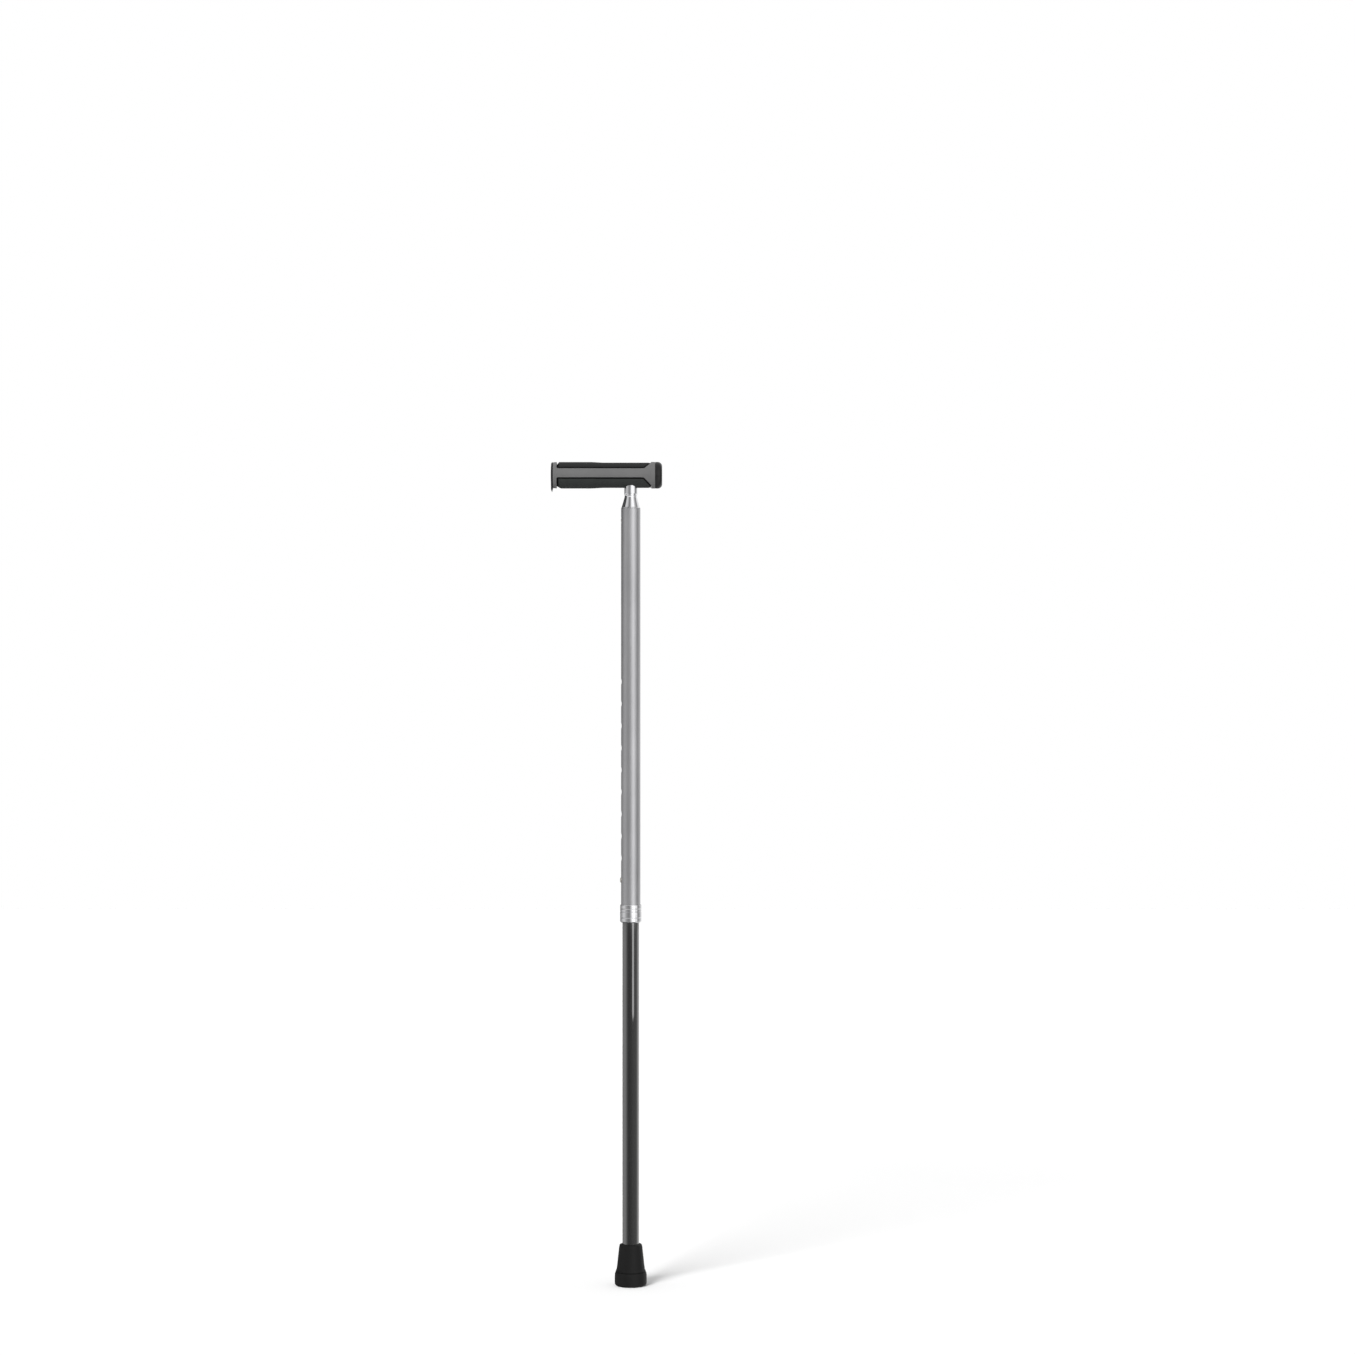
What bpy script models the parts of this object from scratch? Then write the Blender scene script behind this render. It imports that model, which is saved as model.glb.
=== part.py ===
"""Height-adjustable walking cane with a T handle on a two-part tube.

Everything is in metres with +Z up. The shaft stands on the Z axis, with the
sole of its rubber tip on the floor at the origin. The handle lies along X and
its long nose points to -X, as do the row of height holes and both snap buttons.
"""

import math

import bmesh
import bpy
from mathutils import Matrix, Vector

# Fits and round pieces
GAP = 0.0003
TELESCOPE_PLAY = 0.000375
ROUND_STEPS = 40
SMALL_STEPS = 24
ARC_STEPS = 3
ARC_SHARE = 0.96
WELD = 0.00001
SHARP_ANGLE = math.radians(30)

# Rubber tip
TIP_HEIGHT = 0.0478
TIP_RIM_WALL = 0.0028
TIP_RIM_DROP = 0.0034
TIP_RIM_SPREAD = 0.0008
TIP_CONE_SPREAD = 0.0024
TIP_CONE_FOOT = 0.0233
TIP_CONE_ROUNDING = 0.0060
TIP_FLARE_SPREAD = 0.001925
TIP_FLARE_ROUNDING = 0.0020
TIP_BASE_TOP = 0.0152
TIP_BASE_SPREAD = 0.00075
TIP_BASE_DROP = 0.0060
TIP_BASE_ROUNDING = 0.0060
TIP_SOLE_ROUNDING = 0.0036
TIP_SOLE_THICKNESS = 0.0080
TREAD_INNER_RADIUS = 0.0062
TREAD_PITCH = 0.0036
TREAD_WIDTH = 0.0016
TREAD_DEPTH = 0.0012
TREAD_COUNT = 2
TIP_WASHER_THICKNESS = 0.0012

# Tubes
UPPER_TUBE_RADIUS = 0.0111
UPPER_TUBE_WALL = 0.0012
UPPER_TUBE_LENGTH = 0.4697
UPPER_RIM_ROUNDING = 0.0006
LOWER_TUBE_WALL = 0.0012
LOWER_TUBE_LENGTH = 0.4905

# Snap buttons and the holes they lock in
HOLE_RADIUS = 0.0034
HOLE_PITCH = 0.0254
HOLE_COUNT = 10
LOWEST_HOLE_RISE = 0.0413
HEIGHT_BUTTON_DEPTH = 0.0330
HEAD_BUTTON_DEPTH = 0.0138
HEIGHT_BUTTON_STAND_OUT = 0.0012
HEAD_BUTTON_STAND_OUT = 0.0002
BUTTON_DOME = 0.0010
BUTTON_DOME_STEPS = 3
BUTTON_FLANGE_WIDTH = 0.0009
BUTTON_FLANGE_THICKNESS = 0.0009
SPRING_THICKNESS = 0.0006
SPRING_WIDTH = 0.0050
SPRING_RISE = 0.0060
SPRING_DEPTH = 0.0210
SPRING_BEND = 0.0019

# Lock collar with its compression ring, and the guide bush
COLLAR_WALL = 0.0009
COLLAR_GRIP_LENGTH = 0.0129
COLLAR_LIP = 0.0035
COLLAR_CHAMFER = 0.0012
COLLAR_CHAMFER_RUN = 0.0017
COLLAR_CHAMFER_ROUNDING = 0.0004
COLLAR_TOP_ROUNDING = 0.0005
COLLAR_GROOVE_DEPTH = 0.0004
COLLAR_GROOVE_WIDTH = 0.0008
COLLAR_UPPER_GROOVE = 0.0045
COLLAR_MIDDLE_GROOVE = 0.0079
COLLAR_LOWER_GROOVE = 0.0148
RING_HEIGHT = 0.0034
BUSH_HEAD = 0.0030
BUSH_PLUG = 0.0080
BUSH_WALL = 0.0020

# Neck between the upper tube and the handle
HANDLE_RISE = 0.0383
NECK_WAIST_RISE = 0.0144
NECK_WAIST_RADIUS = 0.0070
NECK_TOP_RADIUS = 0.0075
NECK_TOP_RUN = 0.0030
NECK_FOOT_RADIUS = 0.0105
NECK_FOOT_RISE = 0.0012
NECK_BEVEL = 0.0005
NECK_FLARE_BLEND = 0.10
NECK_TOP_DROP = 0.0030
NECK_FLARE_STEPS = 8
NECK_TOP_STEPS = 4
SPIGOT_LENGTH = 0.0397
SPIGOT_WALL = 0.0016
SPIGOT_BORE_RISE = 0.0085
BOLT_RADIUS = 0.0025
BOLT_LENGTH = 0.0300
BOLT_HEAD_RADIUS = 0.00425
BOLT_HEAD_HEIGHT = 0.0032
BOLT_KEY_RADIUS = 0.0020
BOLT_KEY_DEPTH = 0.0016
WASHER_RADIUS = 0.0050
WASHER_THICKNESS = 0.0010
DOWEL_RADIUS = 0.0010
DOWEL_LENGTH = 0.0078
DOWEL_OFFSET = 0.0047

# Handle, measured along X from the shaft and up or down from its own axis
HANDLE_WIDTH_RATIO = 0.90
NOSE_HALF_HEIGHT = 0.0152
REAR_HALF_HEIGHT = 0.0145
NOSE_X = -0.0895
REAR_X = 0.0281
WAIST_X = -0.0385
WAIST_LENGTH = 0.0180
WAIST_STEPS = 4
REAR_FLARE = 0.0008
REAR_FLARE_RUN = 0.0018
REAR_FLANGE_THICKNESS = 0.0039
NOSE_FLANGE_THICKNESS = 0.0042
FLANGE_STEP = 0.0003
BAND_TOP = 0.0074
BAND_BOTTOM = 0.0032
INLAY_THICKNESS = 0.0027
INLAY_END_TOP = 0.0158
INLAY_END_BOTTOM = 0.0152
INLAY_END_SLANT_TOP = 1.10
INLAY_END_SLANT_BOTTOM = 0.95
INLAY_FLANGE_GAP = 0.0006
INLAY_NOSE_DROP = 0.0024
INLAY_NOSE_RUN = 0.0026
CORE_BORE_RADIUS = 0.0080
CORE_WEB_NOSE = 0.0052
CORE_WEB_REAR = 0.0067
BOLT_SEAT_RISE = 0.0040
FRONT_CAP_THICKNESS = 0.0023
FRONT_CAP_EDGE = 0.0016
FRONT_CAP_ROUNDING = 0.0009
FRONT_CAP_FLAT_RADIUS = 0.0075
FRONT_CAP_CROWN_ROUNDING = 0.0200
FRONT_LIP_DROP = 0.0046
FRONT_LIP_STRAIGHT = 0.0013
FRONT_LIP_WIDTH_RATIO = 0.36
FRONT_LIP_THICKNESS = 0.0021
FRONT_LIP_TIP_THICKNESS = 0.0003
FRONT_LIP_ROOT = 0.0112
REAR_CAP_THICKNESS = 0.0078
REAR_CAP_ROUNDING = 0.0050
CAP_PLUG_LENGTH = 0.0060
CUTTER_REACH = 0.0060

# Radii that follow from the tubes
UPPER_BORE_RADIUS = UPPER_TUBE_RADIUS - UPPER_TUBE_WALL
LOWER_TUBE_RADIUS = UPPER_BORE_RADIUS - TELESCOPE_PLAY
LOWER_BORE_RADIUS = LOWER_TUBE_RADIUS - LOWER_TUBE_WALL
SPIGOT_RADIUS = UPPER_BORE_RADIUS - GAP
SPIGOT_BORE_RADIUS = SPIGOT_RADIUS - SPIGOT_WALL
COLLAR_BORE_RADIUS = UPPER_TUBE_RADIUS + GAP
COLLAR_RADIUS = COLLAR_BORE_RADIUS + COLLAR_WALL
TIP_BORE_RADIUS = LOWER_TUBE_RADIUS + GAP
BUTTON_RADIUS = HOLE_RADIUS - GAP

# Heights above the floor, from the sole up
TIP_WASHER_Z = TIP_SOLE_THICKNESS + GAP
LOWER_TUBE_Z = TIP_WASHER_Z + TIP_WASHER_THICKNESS + GAP
LOWER_TUBE_TOP = LOWER_TUBE_Z + LOWER_TUBE_LENGTH
HEIGHT_BUTTON_Z = LOWER_TUBE_TOP - HEIGHT_BUTTON_DEPTH
UPPER_TUBE_Z = HEIGHT_BUTTON_Z - LOWEST_HOLE_RISE
RIM_Z = UPPER_TUBE_Z + UPPER_TUBE_LENGTH
HEAD_BUTTON_Z = RIM_Z - HEAD_BUTTON_DEPTH
HANDLE_Z = RIM_Z + HANDLE_RISE
RING_Z = UPPER_TUBE_Z - GAP - RING_HEIGHT
COLLAR_Z = RING_Z - GAP - COLLAR_LIP
NECK_TOP_Z = HANDLE_Z - NECK_TOP_DROP
BOLT_SEAT_Z = HANDLE_Z + BOLT_SEAT_RISE

# Directions that turned pieces are laid in
UPRIGHT = Matrix.Identity(4)
ALONG_X = Matrix.Rotation(math.radians(90), 4, "Y")
TOWARDS_NOSE = Matrix.Rotation(math.radians(-90), 4, "Y")
STANDING_OUTLINE = Matrix.Rotation(math.radians(90), 4, "X")


def clear_scene():
    """Remove whatever the file holds."""
    for obj in list(bpy.data.objects):
        bpy.data.objects.remove(obj)


def new_collection(name):
    """Return a collection linked to the scene."""
    collection = bpy.data.collections.new(name)
    bpy.context.scene.collection.children.link(collection)
    return collection


def new_material(name, colour, roughness, metallic=0.0):
    """Return a plain Principled material."""
    material = bpy.data.materials.new(name)
    material.use_nodes = True
    shader = material.node_tree.nodes["Principled BSDF"]
    shader.inputs["Base Color"].default_value = (*colour, 1.0)
    shader.inputs["Roughness"].default_value = roughness
    shader.inputs["Metallic"].default_value = metallic
    material.diffuse_color = (*colour, 1.0)
    return material


clear_scene()
CANE = new_collection("walking_cane")
CUTTERS = new_collection("cutters")
RUBBER = new_material("black_rubber", (0.014, 0.014, 0.014), 0.75)
SOFT_GRIP = new_material("soft_grip", (0.028, 0.031, 0.030), 0.70)
BLACK_PLASTIC = new_material("black_plastic", (0.020, 0.020, 0.020), 0.45)
GREY_PLASTIC = new_material("grey_plastic", (0.190, 0.190, 0.190), 0.50)
NYLON = new_material("natural_nylon", (0.620, 0.600, 0.540), 0.55)
SATIN_ALUMINIUM = new_material("satin_aluminium", (0.560, 0.560, 0.565), 0.38, 1.0)
BLACK_ALUMINIUM = new_material("black_anodised_aluminium", (0.035, 0.035, 0.037), 0.35, 0.6)
POLISHED = new_material("polished_aluminium", (0.780, 0.780, 0.790), 0.10, 1.0)
STEEL = new_material("bright_steel", (0.560, 0.550, 0.530), 0.25, 1.0)


def weld_and_shade(mesh):
    """Merge doubled points and shade smooth except at real edges."""
    work = bmesh.new()
    work.from_mesh(mesh)
    bmesh.ops.remove_doubles(work, verts=work.verts, dist=WELD)
    work.to_mesh(mesh)
    work.free()
    mesh.shade_smooth()
    mesh.set_sharp_from_angle(angle=SHARP_ANGLE)


def evaluated_mesh(obj):
    """Return an object's shape, modifiers included, as a new mesh."""
    bpy.context.view_layer.update()
    depsgraph = bpy.context.evaluated_depsgraph_get()
    return bpy.data.meshes.new_from_object(obj.evaluated_get(depsgraph))


def placed(name, mesh, material, place, collection):
    """Put a mesh in the scene as a named object."""
    mesh.name = name
    mesh.materials.clear()
    mesh.materials.append(material)
    obj = bpy.data.objects.new(name, mesh)
    obj.matrix_world = place
    collection.objects.link(obj)
    if collection is CUTTERS:
        obj.hide_render = True
        obj.display_type = "WIRE"
    return obj


def arc_room(corners, i, other):
    """Return how much of the side from corner i to the other one an arc at i may take.

    One arc may take nearly all of a side, and two share it.
    """
    side = Vector(corners[other][:2]) - Vector(corners[i][:2])
    share = ARC_SHARE / 2 if corners[other][2] > 0 else ARC_SHARE
    return side.length * share


def rounded(corners, closed=True):
    """Turn corners (a, b, radius) into points, with an arc at each radius above 0."""
    points = []
    last = len(corners) - 1
    for i, (a, b, radius) in enumerate(corners):
        corner = Vector((a, b))
        if radius <= 0 or (not closed and i in (0, last)):
            points.append(corner)
            continue
        after = (i + 1) % len(corners)
        back = Vector(corners[i - 1][:2]) - corner
        ahead = Vector(corners[after][:2]) - corner
        half = back.angle(ahead) / 2
        room = min(arc_room(corners, i, i - 1), arc_room(corners, i, after))
        reach = min(radius / math.tan(half), room)
        back.normalize()
        ahead.normalize()
        bend = reach * math.tan(half)
        centre = corner + (back + ahead).normalized() * bend / math.sin(half)
        start = (corner + back * reach - centre) / bend
        end = (corner + ahead * reach - centre) / bend
        sweep = start.angle(end)
        for k in range(ARC_STEPS + 1):
            t = k / ARC_STEPS
            spoke = start * math.sin((1 - t) * sweep) + end * math.sin(t * sweep)
            points.append(centre + spoke * bend / math.sin(sweep))
    return points


def turned_mesh(name, outline, steps):
    """Turn points (radius, height) about Z. They run down the outer side first.

    An outline that ends off the axis is joined up, which gives a ring.
    """
    mesh = bpy.data.meshes.new(name)
    points = [(r, 0.0, z) for r, z in outline]
    edges = [(i, i + 1) for i in range(len(points) - 1)]
    if outline[0][0] > WELD:
        edges.append((len(points) - 1, 0))
    mesh.from_pydata(points, edges, [])
    blank = bpy.data.objects.new(name, mesh)
    CUTTERS.objects.link(blank)
    screw = blank.modifiers.new("turn", "SCREW")
    screw.axis = "Z"
    screw.steps = steps
    screw.render_steps = steps
    screw.use_merge_vertices = True
    screw.merge_threshold = WELD
    shape = evaluated_mesh(blank)
    bpy.data.objects.remove(blank)
    weld_and_shade(shape)
    return shape


def turned(name, outline, material, place=UPRIGHT, steps=ROUND_STEPS, collection=CANE):
    """Make a turned piece with its axis laid as place says."""
    return placed(name, turned_mesh(name, outline, steps), material, place, collection)


def handle_turned(name, outline, material, collection=CANE, width=HANDLE_WIDTH_RATIO):
    """Make a piece turned about the handle's axis, flattened across to its oval."""
    mesh = turned_mesh(name, outline, ROUND_STEPS)
    mesh.transform(Matrix.Diagonal((1.0, width, 1.0, 1.0)))
    place = Matrix.Translation((0.0, 0.0, HANDLE_Z)) @ ALONG_X
    return placed(name, mesh, material, place, collection)


def slab(name, outline, half_width, material, height=0.0, collection=CUTTERS):
    """Make a plate from a flat outline in X and Z, half_width to each side of Y = 0."""
    curve = bpy.data.curves.new(name, "CURVE")
    curve.dimensions = "2D"
    curve.fill_mode = "BOTH"
    curve.extrude = half_width
    spline = curve.splines.new("POLY")
    spline.points.add(len(outline) - 1)
    for point, (x, z) in zip(spline.points, outline):
        point.co = (x, z, 0.0, 1.0)
    spline.use_cyclic_u = True
    blank = bpy.data.objects.new(name, curve)
    CUTTERS.objects.link(blank)
    mesh = evaluated_mesh(blank)
    bpy.data.objects.remove(blank)
    weld_and_shade(mesh)
    place = Matrix.Translation((0.0, 0.0, height)) @ STANDING_OUTLINE
    return placed(name, mesh, material, place, collection)


def boolean(target, tool, operation):
    """Add a Boolean modifier to target."""
    modifier = target.modifiers.new(tool.name, "BOOLEAN")
    modifier.operation = operation
    modifier.object = tool
    modifier.solver = "EXACT"


def cut(target, tool):
    """Take the tool's shape out of the target."""
    boolean(target, tool, "DIFFERENCE")


def drill(target, radius, bottom, top, x=0.0):
    """Bore an upright hole between two heights."""
    outline = [(0.0, top), (radius, top), (radius, bottom), (0.0, bottom)]
    place = Matrix.Translation((x, 0.0, 0.0))
    name = f"{target.name}_bore_{len(target.modifiers)}"
    cut(target, turned(name, outline, STEEL, place, SMALL_STEPS, CUTTERS))


def side_holes(target, heights, inner, outer):
    """Bore round holes through the -X wall at the given heights."""
    mesh = bpy.data.meshes.new(f"{target.name}_holes")
    work = bmesh.new()
    for z in heights:
        middle = Matrix.Translation((-(inner + outer) / 2, 0.0, z))
        bmesh.ops.create_cone(
            work,
            cap_ends=True,
            segments=SMALL_STEPS,
            radius1=HOLE_RADIUS,
            radius2=HOLE_RADIUS,
            depth=outer - inner,
            matrix=middle @ ALONG_X,
        )
    work.to_mesh(mesh)
    work.free()
    cut(target, placed(f"{target.name}_holes", mesh, STEEL, UPRIGHT, CUTTERS))


def ring_outline(inner, outer, bottom, top):
    """Return a plain ring's section."""
    return [(inner, top), (outer, top), (outer, bottom), (inner, bottom)]


def rubber_tip():
    """A cone that flares to a flat round base, bored for the tube, ringed below."""
    rim = TIP_BORE_RADIUS + TIP_RIM_WALL
    cone_top = rim + TIP_RIM_SPREAD
    cone_foot = cone_top + TIP_CONE_SPREAD
    flare = cone_foot + TIP_FLARE_SPREAD
    base = flare + TIP_BASE_SPREAD
    corners = [
        (0.0, TIP_SOLE_THICKNESS, 0.0),
        (TIP_BORE_RADIUS, TIP_SOLE_THICKNESS, 0.0),
        (TIP_BORE_RADIUS, TIP_HEIGHT, 0.0),
        (rim, TIP_HEIGHT, TIP_RIM_WALL / 2),
        (cone_top, TIP_HEIGHT - TIP_RIM_DROP, 0.0),
        (cone_foot, TIP_CONE_FOOT, TIP_CONE_ROUNDING),
        (flare, TIP_BASE_TOP, TIP_FLARE_ROUNDING),
        (base, TIP_BASE_TOP - TIP_BASE_DROP, TIP_BASE_ROUNDING),
        (base, 0.0, TIP_SOLE_ROUNDING),
    ]
    for i in reversed(range(TREAD_COUNT)):
        inner = TREAD_INNER_RADIUS + i * TREAD_PITCH
        outer = inner + TREAD_WIDTH
        corners.append((outer, 0.0, 0.0))
        corners.append((outer, TREAD_DEPTH, 0.0))
        corners.append((inner, TREAD_DEPTH, 0.0))
        corners.append((inner, 0.0, 0.0))
    corners.append((0.0, 0.0, 0.0))
    return turned("rubber_tip", rounded(corners, closed=False), RUBBER)


def tip_washer():
    """The steel disc that keeps the tube from cutting through the sole."""
    radius = TIP_BORE_RADIUS - GAP
    top = TIP_WASHER_Z + TIP_WASHER_THICKNESS
    outline = [(0.0, top), (radius, top), (radius, TIP_WASHER_Z), (0.0, TIP_WASHER_Z)]
    return turned("tip_washer", outline, STEEL)


def lower_tube():
    """The black leg tube, with one hole for the height button."""
    outline = ring_outline(LOWER_BORE_RADIUS, LOWER_TUBE_RADIUS, LOWER_TUBE_Z, LOWER_TUBE_TOP)
    below = HEIGHT_BUTTON_Z - HOLE_PITCH / 2
    above = HEIGHT_BUTTON_Z + HOLE_PITCH / 2
    outline[2:2] = [(LOWER_TUBE_RADIUS, above), (LOWER_TUBE_RADIUS, below)]
    outline += [(LOWER_BORE_RADIUS, below), (LOWER_BORE_RADIUS, above)]
    tube = turned("lower_tube", outline, BLACK_ALUMINIUM)
    inside = LOWER_BORE_RADIUS / 2
    side_holes(tube, [HEIGHT_BUTTON_Z], inside, UPPER_TUBE_RADIUS)
    return tube


def guide_bush():
    """The nylon bush on top of the leg tube, which runs inside the upper tube."""
    foot = LOWER_TUBE_TOP + GAP
    plug_radius = LOWER_BORE_RADIUS - GAP
    bore = plug_radius - BUSH_WALL
    outline = [
        (bore, foot + BUSH_HEAD),
        (UPPER_BORE_RADIUS - GAP, foot + BUSH_HEAD),
        (UPPER_BORE_RADIUS - GAP, foot),
        (plug_radius, foot),
        (plug_radius, foot - BUSH_PLUG),
        (bore, foot - BUSH_PLUG),
    ]
    return turned("guide_bush", outline, NYLON)


def hole_heights():
    """Return the heights of the height holes, from the lowest up."""
    return [HEIGHT_BUTTON_Z + i * HOLE_PITCH for i in range(HOLE_COUNT)]


def upper_tube():
    """The satin tube, with a row of height holes and the head's lock hole."""
    between = [z + HOLE_PITCH / 2 for z in hole_heights()]
    levels = [HEIGHT_BUTTON_Z - HOLE_PITCH / 2, *between]
    levels.append(HEAD_BUTTON_Z - HEAD_BUTTON_DEPTH / 2)
    corners = [
        (UPPER_BORE_RADIUS, RIM_Z, 0.0),
        (UPPER_TUBE_RADIUS, RIM_Z, UPPER_RIM_ROUNDING),
    ]
    corners += [(UPPER_TUBE_RADIUS, z, 0.0) for z in reversed(levels)]
    corners.append((UPPER_TUBE_RADIUS, UPPER_TUBE_Z, 0.0))
    corners.append((UPPER_BORE_RADIUS, UPPER_TUBE_Z, 0.0))
    corners += [(UPPER_BORE_RADIUS, z, 0.0) for z in levels]
    tube = turned("upper_tube", rounded(corners), SATIN_ALUMINIUM)
    inside = UPPER_BORE_RADIUS / 2
    outside = UPPER_TUBE_RADIUS * 1.5
    side_holes(tube, [*hole_heights(), HEAD_BUTTON_Z], inside, outside)
    return tube


def compression_ring():
    """The nylon ring that the collar squeezes against the leg tube."""
    top = RING_Z + RING_HEIGHT
    outline = ring_outline(TIP_BORE_RADIUS, COLLAR_BORE_RADIUS - GAP, RING_Z, top)
    return turned("compression_ring", outline, NYLON)


def lock_collar():
    """The twist collar: a grooved sleeve with a chamfered lip round the leg tube."""
    top = UPPER_TUBE_Z + COLLAR_GRIP_LENGTH
    chamfer = min(COLLAR_CHAMFER, COLLAR_LIP)
    corners = [
        (COLLAR_BORE_RADIUS, top, 0.0),
        (COLLAR_RADIUS, top, COLLAR_TOP_ROUNDING),
    ]
    for drop in (COLLAR_UPPER_GROOVE, COLLAR_MIDDLE_GROOVE, COLLAR_LOWER_GROOVE):
        middle = top - drop
        corners.append((COLLAR_RADIUS, middle + COLLAR_GROOVE_WIDTH / 2, 0.0))
        corners.append((COLLAR_RADIUS - COLLAR_GROOVE_DEPTH, middle, 0.0))
        corners.append((COLLAR_RADIUS, middle - COLLAR_GROOVE_WIDTH / 2, 0.0))
    corners += [
        (COLLAR_RADIUS, COLLAR_Z + chamfer, COLLAR_CHAMFER_ROUNDING),
        (COLLAR_RADIUS - COLLAR_CHAMFER_RUN, COLLAR_Z, 0.0),
        (TIP_BORE_RADIUS, COLLAR_Z, 0.0),
        (TIP_BORE_RADIUS, RING_Z - GAP, 0.0),
        (COLLAR_BORE_RADIUS, RING_Z - GAP, 0.0),
    ]
    return turned("lock_collar", rounded(corners), POLISHED)


def flange_reach(bore):
    """Return how far out a button's flange sits inside a bore."""
    flange = BUTTON_RADIUS + BUTTON_FLANGE_WIDTH
    return math.sqrt(bore**2 - flange**2) - GAP


def snap_button(name, height, bore, stand_out):
    """A domed button whose crown stands out of the upper tube, with a flange inside."""
    tip = UPPER_TUBE_RADIUS + stand_out
    flange = BUTTON_RADIUS + BUTTON_FLANGE_WIDTH
    seat = flange_reach(bore)
    outline = []
    for k in range(BUTTON_DOME_STEPS + 1):
        turn = math.pi / 2 * k / BUTTON_DOME_STEPS
        drop = BUTTON_DOME * (1 - math.cos(turn))
        outline.append((BUTTON_RADIUS * math.sin(turn), tip - drop))
    outline += [
        (BUTTON_RADIUS, seat),
        (flange, seat),
        (flange, seat - BUTTON_FLANGE_THICKNESS),
        (0.0, seat - BUTTON_FLANGE_THICKNESS),
    ]
    place = Matrix.Translation((0.0, 0.0, height)) @ TOWARDS_NOSE
    return turned(name, outline, POLISHED, place, SMALL_STEPS)


def snap_spring(name, height, bore):
    """A leaf bent to a hairpin: one leg behind the button, one on the far wall."""
    near = flange_reach(bore) - BUTTON_FLANGE_THICKNESS - GAP - SPRING_THICKNESS / 2
    far = math.sqrt(bore**2 - (SPRING_WIDTH / 2) ** 2) - GAP - SPRING_THICKNESS / 2
    corners = [
        (-near, SPRING_RISE, 0.0),
        (-near, -SPRING_RISE, SPRING_BEND),
        (far - 2 * SPRING_BEND, -SPRING_DEPTH, SPRING_BEND),
        (far, -SPRING_DEPTH, SPRING_BEND),
        (far, SPRING_RISE, 0.0),
    ]
    path = rounded(corners, closed=False)
    half = SPRING_WIDTH / 2
    work = bmesh.new()
    row = [work.verts.new((x, -half, z)) for x, z in path]
    edges = [work.edges.new(pair) for pair in zip(row, row[1:])]
    swept = bmesh.ops.extrude_edge_only(work, edges=edges)["geom"]
    moved = [item for item in swept if isinstance(item, bmesh.types.BMVert)]
    bmesh.ops.translate(work, verts=moved, vec=(0.0, SPRING_WIDTH, 0.0))
    bmesh.ops.recalc_face_normals(work, faces=work.faces)
    mesh = bpy.data.meshes.new(name)
    work.to_mesh(mesh)
    work.free()
    place = Matrix.Translation((0.0, 0.0, height))
    spring = placed(name, mesh, STEEL, place, CANE)
    solid = spring.modifiers.new("thickness", "SOLIDIFY")
    solid.thickness = SPRING_THICKNESS
    solid.offset = 0.0
    return spring


def neck_flare(t):
    """Return how far the neck has widened, from 0 at the waist to 1 at its foot.

    A straight cone whose start at the waist is rounded, as a hyperbola is.
    """
    blend = NECK_FLARE_BLEND
    return (math.hypot(t, blend) - blend) / (math.hypot(1.0, blend) - blend)


def neck():
    """The polished neck: a waisted bell with a shoulder, on a hollow spigot in the tube."""
    waist = RIM_Z + NECK_WAIST_RISE
    foot = RIM_Z + NECK_FOOT_RISE
    bore_top = HEAD_BUTTON_Z + SPIGOT_BORE_RISE
    bottom = RIM_Z - SPIGOT_LENGTH
    bolt_bore = BOLT_RADIUS + GAP
    bolt_end = BOLT_SEAT_Z + WASHER_THICKNESS + 2 * GAP - BOLT_LENGTH
    outline = [
        (0.0, bolt_end - GAP),
        (bolt_bore, bolt_end - GAP),
        (bolt_bore, NECK_TOP_Z),
        (NECK_TOP_RADIUS, NECK_TOP_Z),
    ]
    for k in range(NECK_TOP_STEPS):
        t = k / NECK_TOP_STEPS
        narrowed = (NECK_TOP_RADIUS - NECK_WAIST_RADIUS) * t * t * (3 - 2 * t)
        outline.append((NECK_TOP_RADIUS - narrowed, waist + NECK_TOP_RUN * (1 - t)))
    for k in range(NECK_FLARE_STEPS + 1):
        t = k / NECK_FLARE_STEPS
        widened = (NECK_FOOT_RADIUS - NECK_WAIST_RADIUS) * neck_flare(t)
        outline.append((NECK_WAIST_RADIUS + widened, waist + (foot - waist) * t))
    outline += [
        (UPPER_TUBE_RADIUS, foot - NECK_BEVEL),
        (UPPER_TUBE_RADIUS, RIM_Z + GAP),
        (SPIGOT_RADIUS, RIM_Z + GAP),
        (SPIGOT_RADIUS, bottom),
        (SPIGOT_BORE_RADIUS, bottom),
        (SPIGOT_BORE_RADIUS, bore_top),
        (0.0, bore_top),
    ]
    piece = turned("neck", outline, POLISHED)
    side_holes(piece, [HEAD_BUTTON_Z], SPIGOT_BORE_RADIUS / 2, UPPER_TUBE_RADIUS)
    dowel_bottom = NECK_TOP_Z - DOWEL_LENGTH / 2
    drill(piece, DOWEL_RADIUS + GAP, dowel_bottom - GAP, NECK_TOP_Z + GAP, -DOWEL_OFFSET)
    return piece


def neck_dowel():
    """The small pin that keeps the handle from turning on the neck."""
    bottom = NECK_TOP_Z - DOWEL_LENGTH / 2
    top = bottom + DOWEL_LENGTH
    outline = [(0.0, top), (DOWEL_RADIUS, top), (DOWEL_RADIUS, bottom), (0.0, bottom)]
    place = Matrix.Translation((-DOWEL_OFFSET, 0.0, 0.0))
    return turned("neck_dowel", outline, STEEL, place, SMALL_STEPS)


def neck_washer():
    """The washer under the bolt's head."""
    bottom = BOLT_SEAT_Z + GAP
    top = bottom + WASHER_THICKNESS
    outline = ring_outline(BOLT_RADIUS + GAP, WASHER_RADIUS, bottom, top)
    return turned("neck_washer", outline, STEEL, steps=SMALL_STEPS)


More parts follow.
